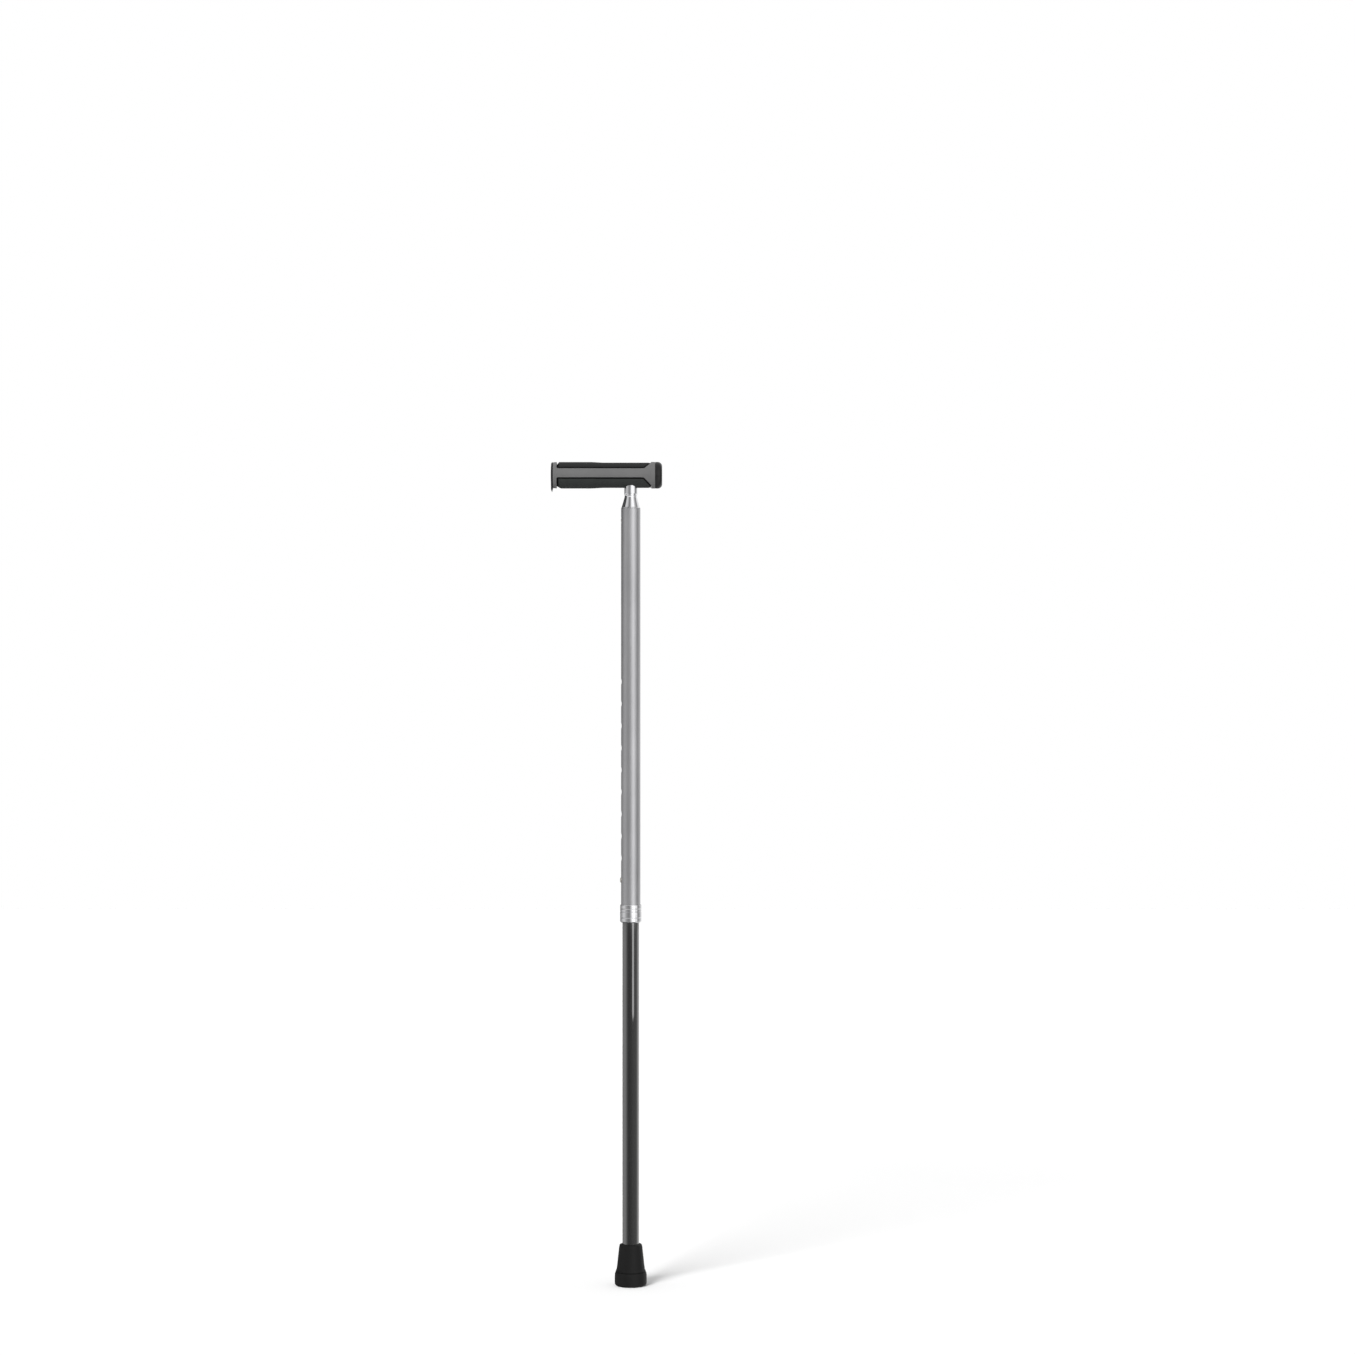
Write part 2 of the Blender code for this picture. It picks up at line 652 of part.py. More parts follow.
def neck_bolt():
    """The cap screw that draws the neck up into the handle."""
    seat = BOLT_SEAT_Z + WASHER_THICKNESS + 2 * GAP
    top = seat + BOLT_HEAD_HEIGHT
    outline = [
        (0.0, top),
        (BOLT_HEAD_RADIUS, top),
        (BOLT_HEAD_RADIUS, seat),
        (BOLT_RADIUS, seat),
        (BOLT_RADIUS, seat - BOLT_LENGTH),
        (0.0, seat - BOLT_LENGTH),
    ]
    bolt = turned("neck_bolt", outline, STEEL, steps=SMALL_STEPS)
    key = ring_outline(0.0, BOLT_KEY_RADIUS, top - BOLT_KEY_DEPTH, top + GAP)
    cut(bolt, turned("neck_bolt_key", key, STEEL, steps=6, collection=CUTTERS))
    return bolt


def nose_flange_x():
    """Return where the nose flange ends and the inlays begin."""
    return NOSE_X + NOSE_FLANGE_THICKNESS


def rear_flange_x():
    """Return where the handle has flared out to the full height of its rear flange."""
    return REAR_X - REAR_FLANGE_THICKNESS


def surface_outline(rear, nose, grow=0.0):
    """Return the handle's outer line (radius, X) from its rear end to its nose."""
    points = [
        (REAR_HALF_HEIGHT + REAR_FLARE + grow, rear),
        (REAR_HALF_HEIGHT + REAR_FLARE + grow, rear_flange_x()),
        (REAR_HALF_HEIGHT + grow, rear_flange_x() - REAR_FLARE_RUN),
    ]
    for k in range(WAIST_STEPS + 1):
        t = k / WAIST_STEPS
        smooth = t * t * (3 - 2 * t)
        radius = REAR_HALF_HEIGHT + (NOSE_HALF_HEIGHT - REAR_HALF_HEIGHT) * smooth
        points.append((radius + grow, WAIST_X + WAIST_LENGTH * (0.5 - t)))
    points.append((NOSE_HALF_HEIGHT + grow, nose))
    return points


def inlay_region(name, side, nose, inset):
    """Return a slab over the area of one inlay, drawn in by inset behind its nose.

    Side is 1 for the top inlay and -1 for the bottom one.
    """
    top = side > 0
    edge = (BAND_TOP if top else BAND_BOTTOM) + inset
    slant = INLAY_END_SLANT_TOP if top else INLAY_END_SLANT_BOTTOM
    beyond = NOSE_HALF_HEIGHT + CUTTER_REACH
    end = INLAY_END_TOP if top else INLAY_END_BOTTOM
    end -= inset * (math.hypot(1.0, slant) - slant)
    stop = min(rear_flange_x() - INLAY_FLANGE_GAP - inset, end + (beyond - edge) * slant)
    end = min(end, stop)
    outline = [
        (nose, side * beyond),
        (nose, side * edge),
        (end, side * edge),
        (stop, side * (edge + (stop - end) / slant)),
        (stop, side * beyond),
    ]
    if side > 0:
        outline.reverse()
    return slab(name, outline, beyond, SOFT_GRIP, HANDLE_Z)


def inlay(name, side):
    """A soft shell laid into the core over the top or under the bottom."""
    nose = nose_flange_x() + GAP
    outline = surface_outline(REAR_X, nose + INLAY_NOSE_RUN)
    outline.append((NOSE_HALF_HEIGHT - INLAY_NOSE_DROP, nose))
    outline += reversed(surface_outline(REAR_X, nose, -INLAY_THICKNESS))
    piece = handle_turned(name, outline, SOFT_GRIP)
    region = inlay_region(f"{name}_region", side, NOSE_X, GAP)
    boolean(piece, region, "INTERSECT")
    return piece


def inlay_pocket(name, side):
    """Return the cutter that makes room for one inlay in the core."""
    outline = surface_outline(REAR_X, NOSE_X, INLAY_THICKNESS)
    outline += reversed(surface_outline(REAR_X, NOSE_X, -INLAY_THICKNESS - GAP))
    pocket = handle_turned(name, outline, SOFT_GRIP, CUTTERS)
    region = inlay_region(f"{name}_region", side, nose_flange_x(), 0.0)
    boolean(pocket, region, "INTERSECT")
    return pocket


def handle_core():
    """The grey body: an oval bar, flanged at the nose, with pockets for the inlays."""
    flange = NOSE_HALF_HEIGHT - FLANGE_STEP
    socket = NECK_TOP_RADIUS + GAP
    outline = [
        (0.0, socket + CORE_WEB_REAR),
        (CORE_BORE_RADIUS, socket + CORE_WEB_REAR),
        (CORE_BORE_RADIUS, REAR_X),
    ]
    outline += surface_outline(REAR_X, nose_flange_x())
    outline += [
        (flange, NOSE_X),
        (CORE_BORE_RADIUS, NOSE_X),
        (CORE_BORE_RADIUS, -socket - CORE_WEB_NOSE),
        (0.0, -socket - CORE_WEB_NOSE),
    ]
    core = handle_turned("handle_core", outline, GREY_PLASTIC)
    cut(core, inlay_pocket("top_inlay_pocket", 1))
    cut(core, inlay_pocket("bottom_inlay_pocket", -1))
    below = HANDLE_Z - 2 * NOSE_HALF_HEIGHT
    above = HANDLE_Z + 2 * NOSE_HALF_HEIGHT
    drill(core, socket, below, NECK_TOP_Z + GAP)
    drill(core, BOLT_RADIUS + GAP, below, above)
    drill(core, WASHER_RADIUS + GAP, BOLT_SEAT_Z, above)
    dowel_top = NECK_TOP_Z + DOWEL_LENGTH / 2
    drill(core, DOWEL_RADIUS + GAP, NECK_TOP_Z, dowel_top + GAP, -DOWEL_OFFSET)
    return core


def grip_bottom_inlay():
    """The inlay under the bar, with a hole that the neck passes through."""
    piece = inlay("grip_bottom_inlay", -1)
    drill(piece, NECK_TOP_RADIUS + GAP, HANDLE_Z - 2 * NOSE_HALF_HEIGHT, HANDLE_Z)
    return piece


def front_lip(back, radius):
    """Return the thin tongue that the front cap's lower edge runs out to."""
    front = back - FRONT_LIP_THICKNESS
    before = front - CUTTER_REACH
    middle = (back + front) / 2
    bend = radius + FRONT_LIP_STRAIGHT
    foot = radius + FRONT_LIP_DROP
    oval = [(0.0, back), (foot, back), (foot, before), (0.0, before)]
    lip = handle_turned("front_lip", oval, BLACK_PLASTIC, CUTTERS, FRONT_LIP_WIDTH_RATIO)
    side = [
        (back + GAP, -radius),
        (back + GAP, -FRONT_LIP_ROOT),
        (front, -FRONT_LIP_ROOT),
        (front, -bend),
        (middle - FRONT_LIP_TIP_THICKNESS / 2, -foot - GAP),
        (middle + FRONT_LIP_TIP_THICKNESS / 2, -foot - GAP),
        (back, -bend),
        (back, -radius - GAP),
    ]
    wedge = slab("front_lip_wedge", side, radius, BLACK_PLASTIC, HANDLE_Z)
    boolean(lip, wedge, "INTERSECT")
    return lip


def front_cap():
    """The thin domed cap on the nose, with a plug behind and a lip below."""
    back = NOSE_X - GAP
    front = back - FRONT_CAP_THICKNESS
    radius = NOSE_HALF_HEIGHT - FLANGE_STEP
    plug = CORE_BORE_RADIUS - GAP
    corners = [
        (0.0, back + CAP_PLUG_LENGTH, 0.0),
        (plug, back + CAP_PLUG_LENGTH, 0.0),
        (plug, back, 0.0),
        (radius, back, 0.0),
        (radius, back - FRONT_CAP_EDGE, FRONT_CAP_ROUNDING),
        (FRONT_CAP_FLAT_RADIUS, front, FRONT_CAP_CROWN_ROUNDING),
        (0.0, front, 0.0),
    ]
    cap = handle_turned("front_cap", rounded(corners, closed=False), BLACK_PLASTIC)
    boolean(cap, front_lip(back, radius), "UNION")
    return cap


def rear_cap():
    """The rounded cap on the short end, with a plug in the core."""
    front = REAR_X + GAP
    rear = front + REAR_CAP_THICKNESS
    radius = REAR_HALF_HEIGHT + REAR_FLARE
    plug = CORE_BORE_RADIUS - GAP
    corners = [
        (0.0, rear, 0.0),
        (radius, rear, REAR_CAP_ROUNDING),
        (radius, front, 0.0),
        (plug, front, 0.0),
        (plug, front - CAP_PLUG_LENGTH, 0.0),
        (0.0, front - CAP_PLUG_LENGTH, 0.0),
    ]
    return handle_turned("rear_cap", rounded(corners, closed=False), BLACK_PLASTIC)


def group(name, height, pieces, parent=None):
    """Parent pieces to an empty on the shaft's axis, which carries them together."""
    empty = bpy.data.objects.new(name, None)
    empty.empty_display_size = 0.02
    CANE.objects.link(empty)
    if parent:
        empty.parent = parent
    empty.matrix_world = Matrix.Translation((0.0, 0.0, height))
    bpy.context.view_layer.update()
    for piece in pieces:
        place = piece.matrix_world.copy()
        piece.parent = empty
        piece.matrix_world = place
    return empty


def build():
    """Make every piece and group them by what moves together."""
    height_spring = snap_spring("height_button_spring", HEIGHT_BUTTON_Z, LOWER_BORE_RADIUS)
    leg = [rubber_tip(), tip_washer(), lower_tube(), guide_bush(), height_spring]
    lower_leg = group("lower_leg", 0.0, leg)
    bore, stand_out = LOWER_BORE_RADIUS, HEIGHT_BUTTON_STAND_OUT
    height_button = snap_button("height_button", HEIGHT_BUTTON_Z, bore, stand_out)
    group("height_button_axis", HEIGHT_BUTTON_Z, [height_button], lower_leg)

    upper_shaft = group("upper_shaft", UPPER_TUBE_Z, [upper_tube(), compression_ring()], lower_leg)
    group("lock_collar_axis", COLLAR_Z, [lock_collar()], upper_shaft)

    top = [handle_core(), inlay("grip_top_inlay", 1), grip_bottom_inlay(), front_cap(), rear_cap()]
    top += [neck(), neck_bolt(), neck_washer(), neck_dowel()]
    top.append(snap_spring("head_button_spring", HEAD_BUTTON_Z, SPIGOT_BORE_RADIUS))
    head = group("head", RIM_Z, top, upper_shaft)
    bore, stand_out = SPIGOT_BORE_RADIUS, HEAD_BUTTON_STAND_OUT
    head_button = snap_button("head_button", HEAD_BUTTON_Z, bore, stand_out)
    group("head_button_axis", HEAD_BUTTON_Z, [head_button], head)


build()
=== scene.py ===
"""The looks of a height-adjustable walking cane with a T handle.

Everything is in metres with +Z up. The shaft stands on the Z axis with its sole
at the origin, and the handle's long nose and the snap buttons point to -X. Each
solid gives way to a finer surface of the same size, worked out with numpy.
"""
import math

import bmesh
import bpy
import numpy as np
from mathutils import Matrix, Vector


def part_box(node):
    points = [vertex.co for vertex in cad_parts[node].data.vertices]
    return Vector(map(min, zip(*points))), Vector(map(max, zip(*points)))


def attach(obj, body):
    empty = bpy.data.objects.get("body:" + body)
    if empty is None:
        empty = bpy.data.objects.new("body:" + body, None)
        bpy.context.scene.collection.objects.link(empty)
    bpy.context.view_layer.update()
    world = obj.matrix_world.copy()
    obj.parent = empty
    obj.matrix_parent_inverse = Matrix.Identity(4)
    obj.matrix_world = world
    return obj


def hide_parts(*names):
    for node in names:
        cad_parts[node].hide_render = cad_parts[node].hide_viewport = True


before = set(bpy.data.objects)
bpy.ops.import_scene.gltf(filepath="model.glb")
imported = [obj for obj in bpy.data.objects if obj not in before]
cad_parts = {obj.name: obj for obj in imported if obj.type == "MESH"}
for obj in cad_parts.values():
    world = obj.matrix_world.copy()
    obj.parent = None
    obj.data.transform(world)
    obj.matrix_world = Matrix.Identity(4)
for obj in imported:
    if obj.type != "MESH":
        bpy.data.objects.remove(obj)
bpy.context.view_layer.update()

# Shared sizes
GAP = 0.0003
WELD = 0.000001
TURN_STEPS = 144
SMALL_TURN_STEPS = 64
PIN_TURN_STEPS = 32
ARC_STEPS = 6
SUPPORT = 0.00015
SUPPORT_SHARE = 0.04
SHARED_SIDE = 0.48
LONE_SIDE = 0.96
SHARP_ANGLE = 32

# Roundings of edges
HAIRLINE = 0.0001
CRISP = 0.0002
BROKEN = 0.0003
EASED = 0.0004
SOFT = 0.0005

# Tip: each point of its foot is how far in from the foot's radius it lies, its height and rounding
TIP_RIM_WIDTH = 0.0028
TIP_RIM_SLOPE = 0.0008
TIP_RIM_DROP = 0.0034
TIP_RIM_ROUNDING = 0.0016
TIP_CONE_ROUNDING = 0.0030
TIP_CONE_SPREAD = 0.0023
TIP_CONE_FOOT = 0.0233
TIP_CONE_FOOT_ROUNDING = 0.0060
TIP_FOOT = (
    (0.00225, 0.0194, 0.0040),
    (0.00125, 0.0169, 0.0009),
    (0.00105, 0.0164, 0.0),
    (0.00160, 0.0161, 0.0),
    (0.00085, 0.0157, 0.0),
    (0.00065, 0.0151, 0.0008),
    (0.00020, 0.0130, 0.0030),
    (0.0, 0.0096, 0.0050),
    (0.0, 0.0, 0.0036),
)
TREAD_RADII = (0.0098, 0.0062)
TREAD_WIDTH = 0.0016
TREAD_DEPTH = 0.0012

# Tubes and their holes
WALL = 0.0012
HOLE_RADIUS = 0.0034
HOLE_PITCH = 0.0254
HOLE_COUNT = 10
HOLE_EDGE = 0.00025
STRIP_RATIO = 1.5
LONE_WINDOW = 0.0070
WINDOW_SIDE = 10
WINDOW_ROWS = 5
RIM_ROUNDING = 0.0006
UPPER_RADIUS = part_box("upper_tube")[1].x
LOWER_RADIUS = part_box("lower_tube")[1].x
UPPER_BORE = UPPER_RADIUS - WALL
LOWER_BORE = LOWER_RADIUS - WALL
RIM_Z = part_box("upper_tube")[1].z
UPPER_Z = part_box("upper_tube")[0].z
LOWER_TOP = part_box("lower_tube")[1].z
LOWER_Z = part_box("lower_tube")[0].z
BUSH_WALL = 0.0020

# Buttons and springs, by the middles of their solids
HEIGHT_BUTTON_Z = (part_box("height_button")[0].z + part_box("height_button")[1].z) / 2
HEAD_BUTTON_Z = (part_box("head_button")[0].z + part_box("head_button")[1].z) / 2
BUTTON_RADIUS = HOLE_RADIUS - GAP
BUTTON_DOME = 0.0010
FLANGE_WIDTH = 0.0009
FLANGE_DEPTH = 0.0009
SPRING_THICKNESS = 0.0006
SPRING_WIDTH = 0.0050
SPRING_RISE = 0.0060
SPRING_DEPTH = 0.0210
SPRING_BEND = 0.0019

# Collar: each groove is how far below the top it lies, its width and its depth
COLLAR_TAPER = 0.00015
COLLAR_CHAMFER = 0.0012
COLLAR_CHAMFER_RUN = 0.0017
COLLAR_GROOVES = ((0.0045, 0.0008, 0.0003), (0.0079, 0.0006, 0.0005), (0.0148, 0.0008, 0.0003))

# Neck
NECK_WAIST_RISE = 0.0144
NECK_WAIST_RADIUS = 0.0070
NECK_TOP_RADIUS = 0.0075
NECK_TOP_RUN = 0.0030
NECK_FOOT_RADIUS = 0.0105
NECK_FOOT_RISE = 0.0012
NECK_BEVEL = 0.0005
NECK_FLARE_BLEND = 0.10
SPIGOT_WALL = 0.0016
SPIGOT_RADIUS = UPPER_BORE - GAP
SPIGOT_BORE = SPIGOT_RADIUS - SPIGOT_WALL
SPIGOT_BORE_RISE = 0.0085
SPIGOT_ROUNDING = 0.0006
NECK_TOP_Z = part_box("neck")[1].z
SPIGOT_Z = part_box("neck")[0].z
BOLT_RADIUS = 0.0025
SOCKET_RIM = 0.0024
SOCKET_HALF = 0.0020
SOCKET_SINKS = (0.0, 0.0001, 0.0016, 0.0018)
SOCKET_TURN_STEPS = 72

# Handle, along X from the shaft and up or down from its own axis
HANDLE_RISE = 0.0383
HANDLE_Z = RIM_Z + HANDLE_RISE
WIDTH_RATIO = 0.90
NOSE_HALF = 0.0152
REAR_HALF = 0.0145
NOSE_X = -0.0895
REAR_X = 0.0281
WAIST_X = -0.0385
WAIST_LENGTH = 0.0180
REAR_FLARE = 0.0008
REAR_FLARE_RUN = 0.0018
REAR_FLANGE_THICKNESS = 0.0039
REAR_FLANGE_X = REAR_X - REAR_FLANGE_THICKNESS
FLANGE_THICKNESS = 0.0042
FLANGE_STEP = 0.0003
FLANGE_X = NOSE_X + FLANGE_THICKNESS
BAND = {1: 0.0074, -1: 0.0032}
END_SLANT = {1: 1.10, -1: 0.95}
INLAY_END = {1: 0.0158, -1: 0.0152}
INLAY_STOP = {1: 0.0230, -1: 0.0236}
NOSE_RUN = {1: 0.0026, -1: 0.0050}
NOSE_DROP = {1: 0.0024, -1: 0.0020}
INLAY_THICKNESS = 0.0027
INLAY_CORNER = 0.0020
END_CORNER = 0.0012
SLANT_BLEND = 0.0006
POCKET_FILLET = 0.00025
CORE_BORE = 0.0080
NOSE_BORE_END = -0.0123
REAR_BORE_END = 0.0138
CORE_EDGE_RUN = (0.0, 0.0001, 0.0003)
NOSE_EDGE_FALL = (0.00025, 0.00008, 0.0)
REAR_EDGE_FALL = (0.00015, 0.00004, 0.0)

# Stations along the bar: steps in its middle, and closer ones where the pockets slant
CORE_STEP = 0.0018
CORE_FIRST_STEP = 0.0012
CORE_LAST_STEP = 0.0020
FLANGE_FACE_STEP = 0.0006
SLANT_STEP = 0.0003
SLANT_START = 0.0130
SLANT_CLEARANCE = 0.0002
POCKET_LINES = 13

# Relief of the inlays
EDGE_RUN = 0.0005
EDGE_FALL = 0.00055
BORDER_WIDTH = 0.0016
BORDER_FALL = 0.00030
BORDER_RISE_RUN = 0.0005
# Within this distance of its edge, an inlay takes the near-black border rubber: painted shade for the
# groove round it.
PAINTED_SHADE_BORDER_WIDTH = 0.0018
DOTS_START = 0.0022
DOTS_FADE = 0.0004
DOT_PITCH = 0.0020
DOT_RADIUS = 0.00055
DOT_RISE = 0.00016
LINE_CROWDING = 0.4
NOSE_CURVE = 1.1
LEAST_THICKNESS = 0.0001

# Caps: the nose cap's dome and rim fall less, by the two easings, where its lip grows
CAP_TURN_STEPS = 192
CAP_RISE = 0.0023
DOME_FALL = 0.0006
LIP_DOME_EASE = 0.0004
RIM_START = 0.9
RIM_FALL = 0.0011
LIP_RIM_EASE = 0.0008
LIP_DROP = 0.0046
LIP_STRAIGHT = 0.0013
LIP_WIDTH_RATIO = 0.36
LIP_BLEND = 0.00035
LIP_LEAST = 0.00002
NO_LIP = -0.01
LIP_FULL = 0.0015
LIP_FRONT = 0.0014
LIP_BACK = 0.0009
SEAL_INSET = 0.0004
SEAL_RISE = 0.00022
PLUG_LENGTH = 0.0060
PLUG_EDGE = 0.0003
PLUG_END_RATIO = 0.97
REAR_CAP_LENGTH = 0.0078
REAR_CAP_ROUNDING = 0.0050
REAR_CAP_LAND = 0.0006

# Light: levels that shines see round the room, by degrees from the front (right is above 0)
LEVEL_PANELS = [
    (-180, 0.15), (-156, 0.30), (-116, 0.38), (-98, 0.58), (-82, 0.77), (-68, 0.72), (-56, 0.57),
    (-44, 0.45), (-32, 0.35), (-22, 0.31), (-10, 0.37), (0, 0.62), (7, 1.30), (20, 1.28), (44, 1.22),
    (63, 1.42), (72, 0.90), (83, 0.38), (100, 0.30), (116, 0.42), (136, 0.85), (156, 0.80),
    (180, 0.30),
]
UPPER_PANELS = [
    (-180, 0.20), (-166, 0.30), (-150, 0.16), (-120, 0.14), (-98, 0.19), (-87, 0.44), (-76, 0.70),
    (-64, 0.88), (-52, 0.84), (-44, 0.68), (-34, 0.46), (-18, 0.23), (-8, 0.34), (0, 0.60),
    (8, 1.10), (18, 1.40), (46, 1.42), (54, 1.00), (63, 0.76), (72, 0.52), (84, 0.36), (96, 0.40),
    (108, 0.84), (126, 1.10), (165, 1.10), (180, 0.50),
]
LOWER_PANELS = [
    (-180, 0.10), (-150, 0.25), (-128, 0.85), (-102, 1.10), (-76, 1.06), (-62, 0.70), (-47, 0.33),
    (-32, 0.18), (-14, 0.17), (14, 0.24), (30, 0.30), (59, 0.35), (76, 0.40), (95, 0.55),
    (116, 1.40), (150, 1.20), (180, 0.50),
]
BELOW_PANELS = [
    (-180, 0.15), (-130, 0.12), (-104, 0.20), (-88, 0.40), (-66, 0.85), (-50, 0.75), (-36, 0.50),
    (-20, 0.35), (-6, 0.55), (6, 1.10), (14, 1.40), (46, 1.40), (56, 1.10), (68, 0.45), (78, 0.27),
    (98, 0.35), (112, 0.90), (140, 1.00), (180, 0.50),
]
VEIL_PANELS = [
    (-180, 0.10), (-160, 0.08), (-116, 0.10), (-102, 0.20), (-84, 0.60), (-68, 0.85), (-46, 0.90),
    (-34, 1.00), (-24, 1.15), (-6, 1.35), (14, 1.40), (24, 1.30), (52, 1.20), (66, 1.00),
    (80, 0.50), (90, 0.28), (101, 0.30), (114, 1.10), (165, 1.10), (180, 0.60),
]
OVERHEAD = 0.90
# Where the rings of panels change over, by the sine of the angle above eye level
UPPER_START = (0.045, 0.060)
VEIL_START = (0.09, 0.12)
VEIL_END = (0.40, 0.46)
OVERHEAD_START = (0.55, 0.85)
LOWER_START = (-0.072, -0.080)
BELOW_START = (-0.19, -0.24)
AMBIENT = 0.62
KEY_POWER = 3.0
KEY_RISE = 36
KEY_SIDE = -30
KEY_SPREAD = 23
STRIP_SIDE = 33.5
STRIP_AWAY = 2.60
STRIP_WIDTH = 1.22
TALL_STRIP = 0.48
LOW_STRIP = 2.2
STRIP_FOOT = 0.032
STRIP_STEP = 0.24
STRIP_TOP = 2.60
FLOOR_COLOUR = "#f0f0f0"
FLOOR_HALF = 6.0

# Camera
EYE = (0.0539, -3.689, 0.7008)
LENS_MM = 85
SENSOR_MM = 36


def linear(code):
    """Turn an sRGB hex colour into the linear colour that a shader takes."""
    levels = np.array([int(code[i : i + 2], 16) for i in (1, 3, 5)]) / 255
    curved = np.where(levels <= 0.04045, levels / 12.92, ((levels + 0.055) / 1.055) ** 2.4)
    return (*curved.tolist(), 1.0)


def add(tree, kind, settings, links=()):
    """Add a node, set its options and sockets, and link sources to its sockets."""
    node = tree.nodes.new(kind)
    for key, value in settings.items():
        if isinstance(key, str) and hasattr(node, key):
            setattr(node, key, value)
        else:
            node.inputs[key].default_value = value
    for key, source in dict(links).items():
        tree.links.new(source, node.inputs[key])
    return node


def finish_of(name, colour, **sockets):
    """Start a material whose even values stand on the shader's own sockets."""
    material = bpy.data.materials.new(name)
    material.use_nodes = True
    tree = material.node_tree
    shader = tree.nodes["Principled BSDF"]
    shader.inputs["Base Color"].default_value = linear(colour)
    for key, value in sockets.items():
        shader.inputs[key.replace("_", " ").title().replace("Ior", "IOR")].default_value = value
    return material, tree, shader


def stretched_noise(tree, place, size, detail, stretch=(1.0, 1.0, 1.0), offset=0.0):
    """Noise whose grains are about size metres across, stretched along each axis."""
    scale = tuple(1.0 / s for s in stretch)
    mapping = add(
        tree,
        "ShaderNodeMapping",
        {"Location": (offset, offset, offset), "Scale": scale},
        {"Vector": place},
    )
    settings = {"Scale": 0.5 / size, "Detail": detail, "Roughness": 0.55}
    return add(tree, "ShaderNodeTexNoise", settings, {"Vector": mapping.outputs["Vector"]})


def spread(tree, source, low, high):
    """Map the middle of a noise to the range from low to high."""
    settings = {"From Min": 0.3, "From Max": 0.7, "To Min": low, "To Max": high}
    return add(tree, "ShaderNodeMapRange", settings, {"Value": source}).outputs["Result"]


def two_tone(tree, source, dark, light):
    """Mix two close colours by a noise."""
    ramp = add(tree, "ShaderNodeValToRGB", {}, {"Fac": source})
    ramp.color_ramp.elements[0].position = 0.35
    ramp.color_ramp.elements[0].color = linear(dark)
    ramp.color_ramp.elements[1].position = 0.65
    ramp.color_ramp.elements[1].color = linear(light)
    return ramp.outputs["Color"]


def satin_anodised_aluminium():
    """Clear anodised drawn tube: a soft grey metal with faint lines along its length."""
    material, tree, shader = finish_of("satin_anodised_aluminium", "#b2b2b4", metallic=1.0)
    place = add(tree, "ShaderNodeTexCoord", {}).outputs["Object"]
    # Real draw lines are about 0.05 mm wide; here they are 0.4 mm so that they show.
    lines = stretched_noise(tree, place, 0.0004, 3.0, (1.0, 1.0, 90.0)).outputs["Fac"]
    cloud = stretched_noise(tree, place, 0.012, 2.0, (1.0, 1.0, 3.0)).outputs["Fac"]
    tree.links.new(two_tone(tree, cloud, "#adadaf", "#b6b6b8"), shader.inputs["Base Color"])
    tree.links.new(spread(tree, lines, 0.34, 0.42), shader.inputs["Roughness"])
    bump = add(tree, "ShaderNodeBump", {"Strength": 0.25, "Distance": 0.00002}, {"Height": lines})
    tree.links.new(bump.outputs["Normal"], shader.inputs["Normal"])
    return material


def black_anodised_aluminium():
    """Black dyed anodising on a drawn tube: dark, with a fairly sharp shine."""
    material, tree, shader = finish_of("black_anodised_aluminium", "#131313", ior=2.1)
    place = add(tree, "ShaderNodeTexCoord", {}).outputs["Object"]
    # Draw lines as on the upper tube, 0.4 mm here for a real 0.05 mm.
    lines = stretched_noise(tree, place, 0.0004, 3.0, (1.0, 1.0, 90.0)).outputs["Fac"]
    cloud = stretched_noise(tree, place, 0.010, 2.0, (1.0, 1.0, 4.0)).outputs["Fac"]
    tree.links.new(two_tone(tree, cloud, "#121212", "#151515"), shader.inputs["Base Color"])
    tree.links.new(spread(tree, lines, 0.02, 0.04), shader.inputs["Roughness"])
    bump = add(tree, "ShaderNodeBump", {"Strength": 0.06, "Distance": 0.00001}, {"Height": lines})
    tree.links.new(bump.outputs["Normal"], shader.inputs["Normal"])
    return material


def polished_aluminium():
    """Lathe-turned and buffed aluminium: near a mirror, with rings too fine to catch."""
    material, tree, shader = finish_of("polished_aluminium", "#d6d6d8", metallic=1.0)
    place = add(tree, "ShaderNodeTexCoord", {}).outputs["Object"]
    # Turning marks 0.25 mm apart stand in for real ones of about 0.05 mm.
    rings = stretched_noise(tree, place, 0.00025, 2.0, (60.0, 60.0, 1.0)).outputs["Fac"]
    haze = stretched_noise(tree, place, 0.0016, 3.0).outputs["Fac"]
    tree.links.new(spread(tree, haze, 0.07, 0.13), shader.inputs["Roughness"])
    bump = add(tree, "ShaderNodeBump", {"Strength": 0.12, "Distance": 0.00001}, {"Height": rings})
    tree.links.new(bump.outputs["Normal"], shader.inputs["Normal"])
    return material


def nickel_plated_steel():
    """Bright nickel on turned or stamped steel: a warm grey mirror, slightly hazed."""
    material, tree, shader = finish_of("nickel_plated_steel", "#c9c5bd", metallic=1.0)
    place = add(tree, "ShaderNodeTexCoord", {}).outputs["Object"]
    haze = stretched_noise(tree, place, 0.0010, 3.0).outputs["Fac"]
    tree.links.new(spread(tree, haze, 0.12, 0.22), shader.inputs["Roughness"])
    tree.links.new(two_tone(tree, haze, "#c4c0b8", "#cecac3"), shader.inputs["Base Color"])
    return material


def tempered_spring_steel():
    """Blue-grey rolled strip: a dull metal with lines along the strip."""
    material, tree, shader = finish_of("tempered_spring_steel", "#8f9196", metallic=1.0)
    place = add(tree, "ShaderNodeTexCoord", {}).outputs["Object"]
    lines = stretched_noise(tree, place, 0.0002, 3.0, (1.0, 1.0, 40.0)).outputs["Fac"]
    tree.links.new(two_tone(tree, lines, "#85878d", "#999ba0"), shader.inputs["Base Color"])
    tree.links.new(spread(tree, lines, 0.26, 0.38), shader.inputs["Roughness"])
    return material


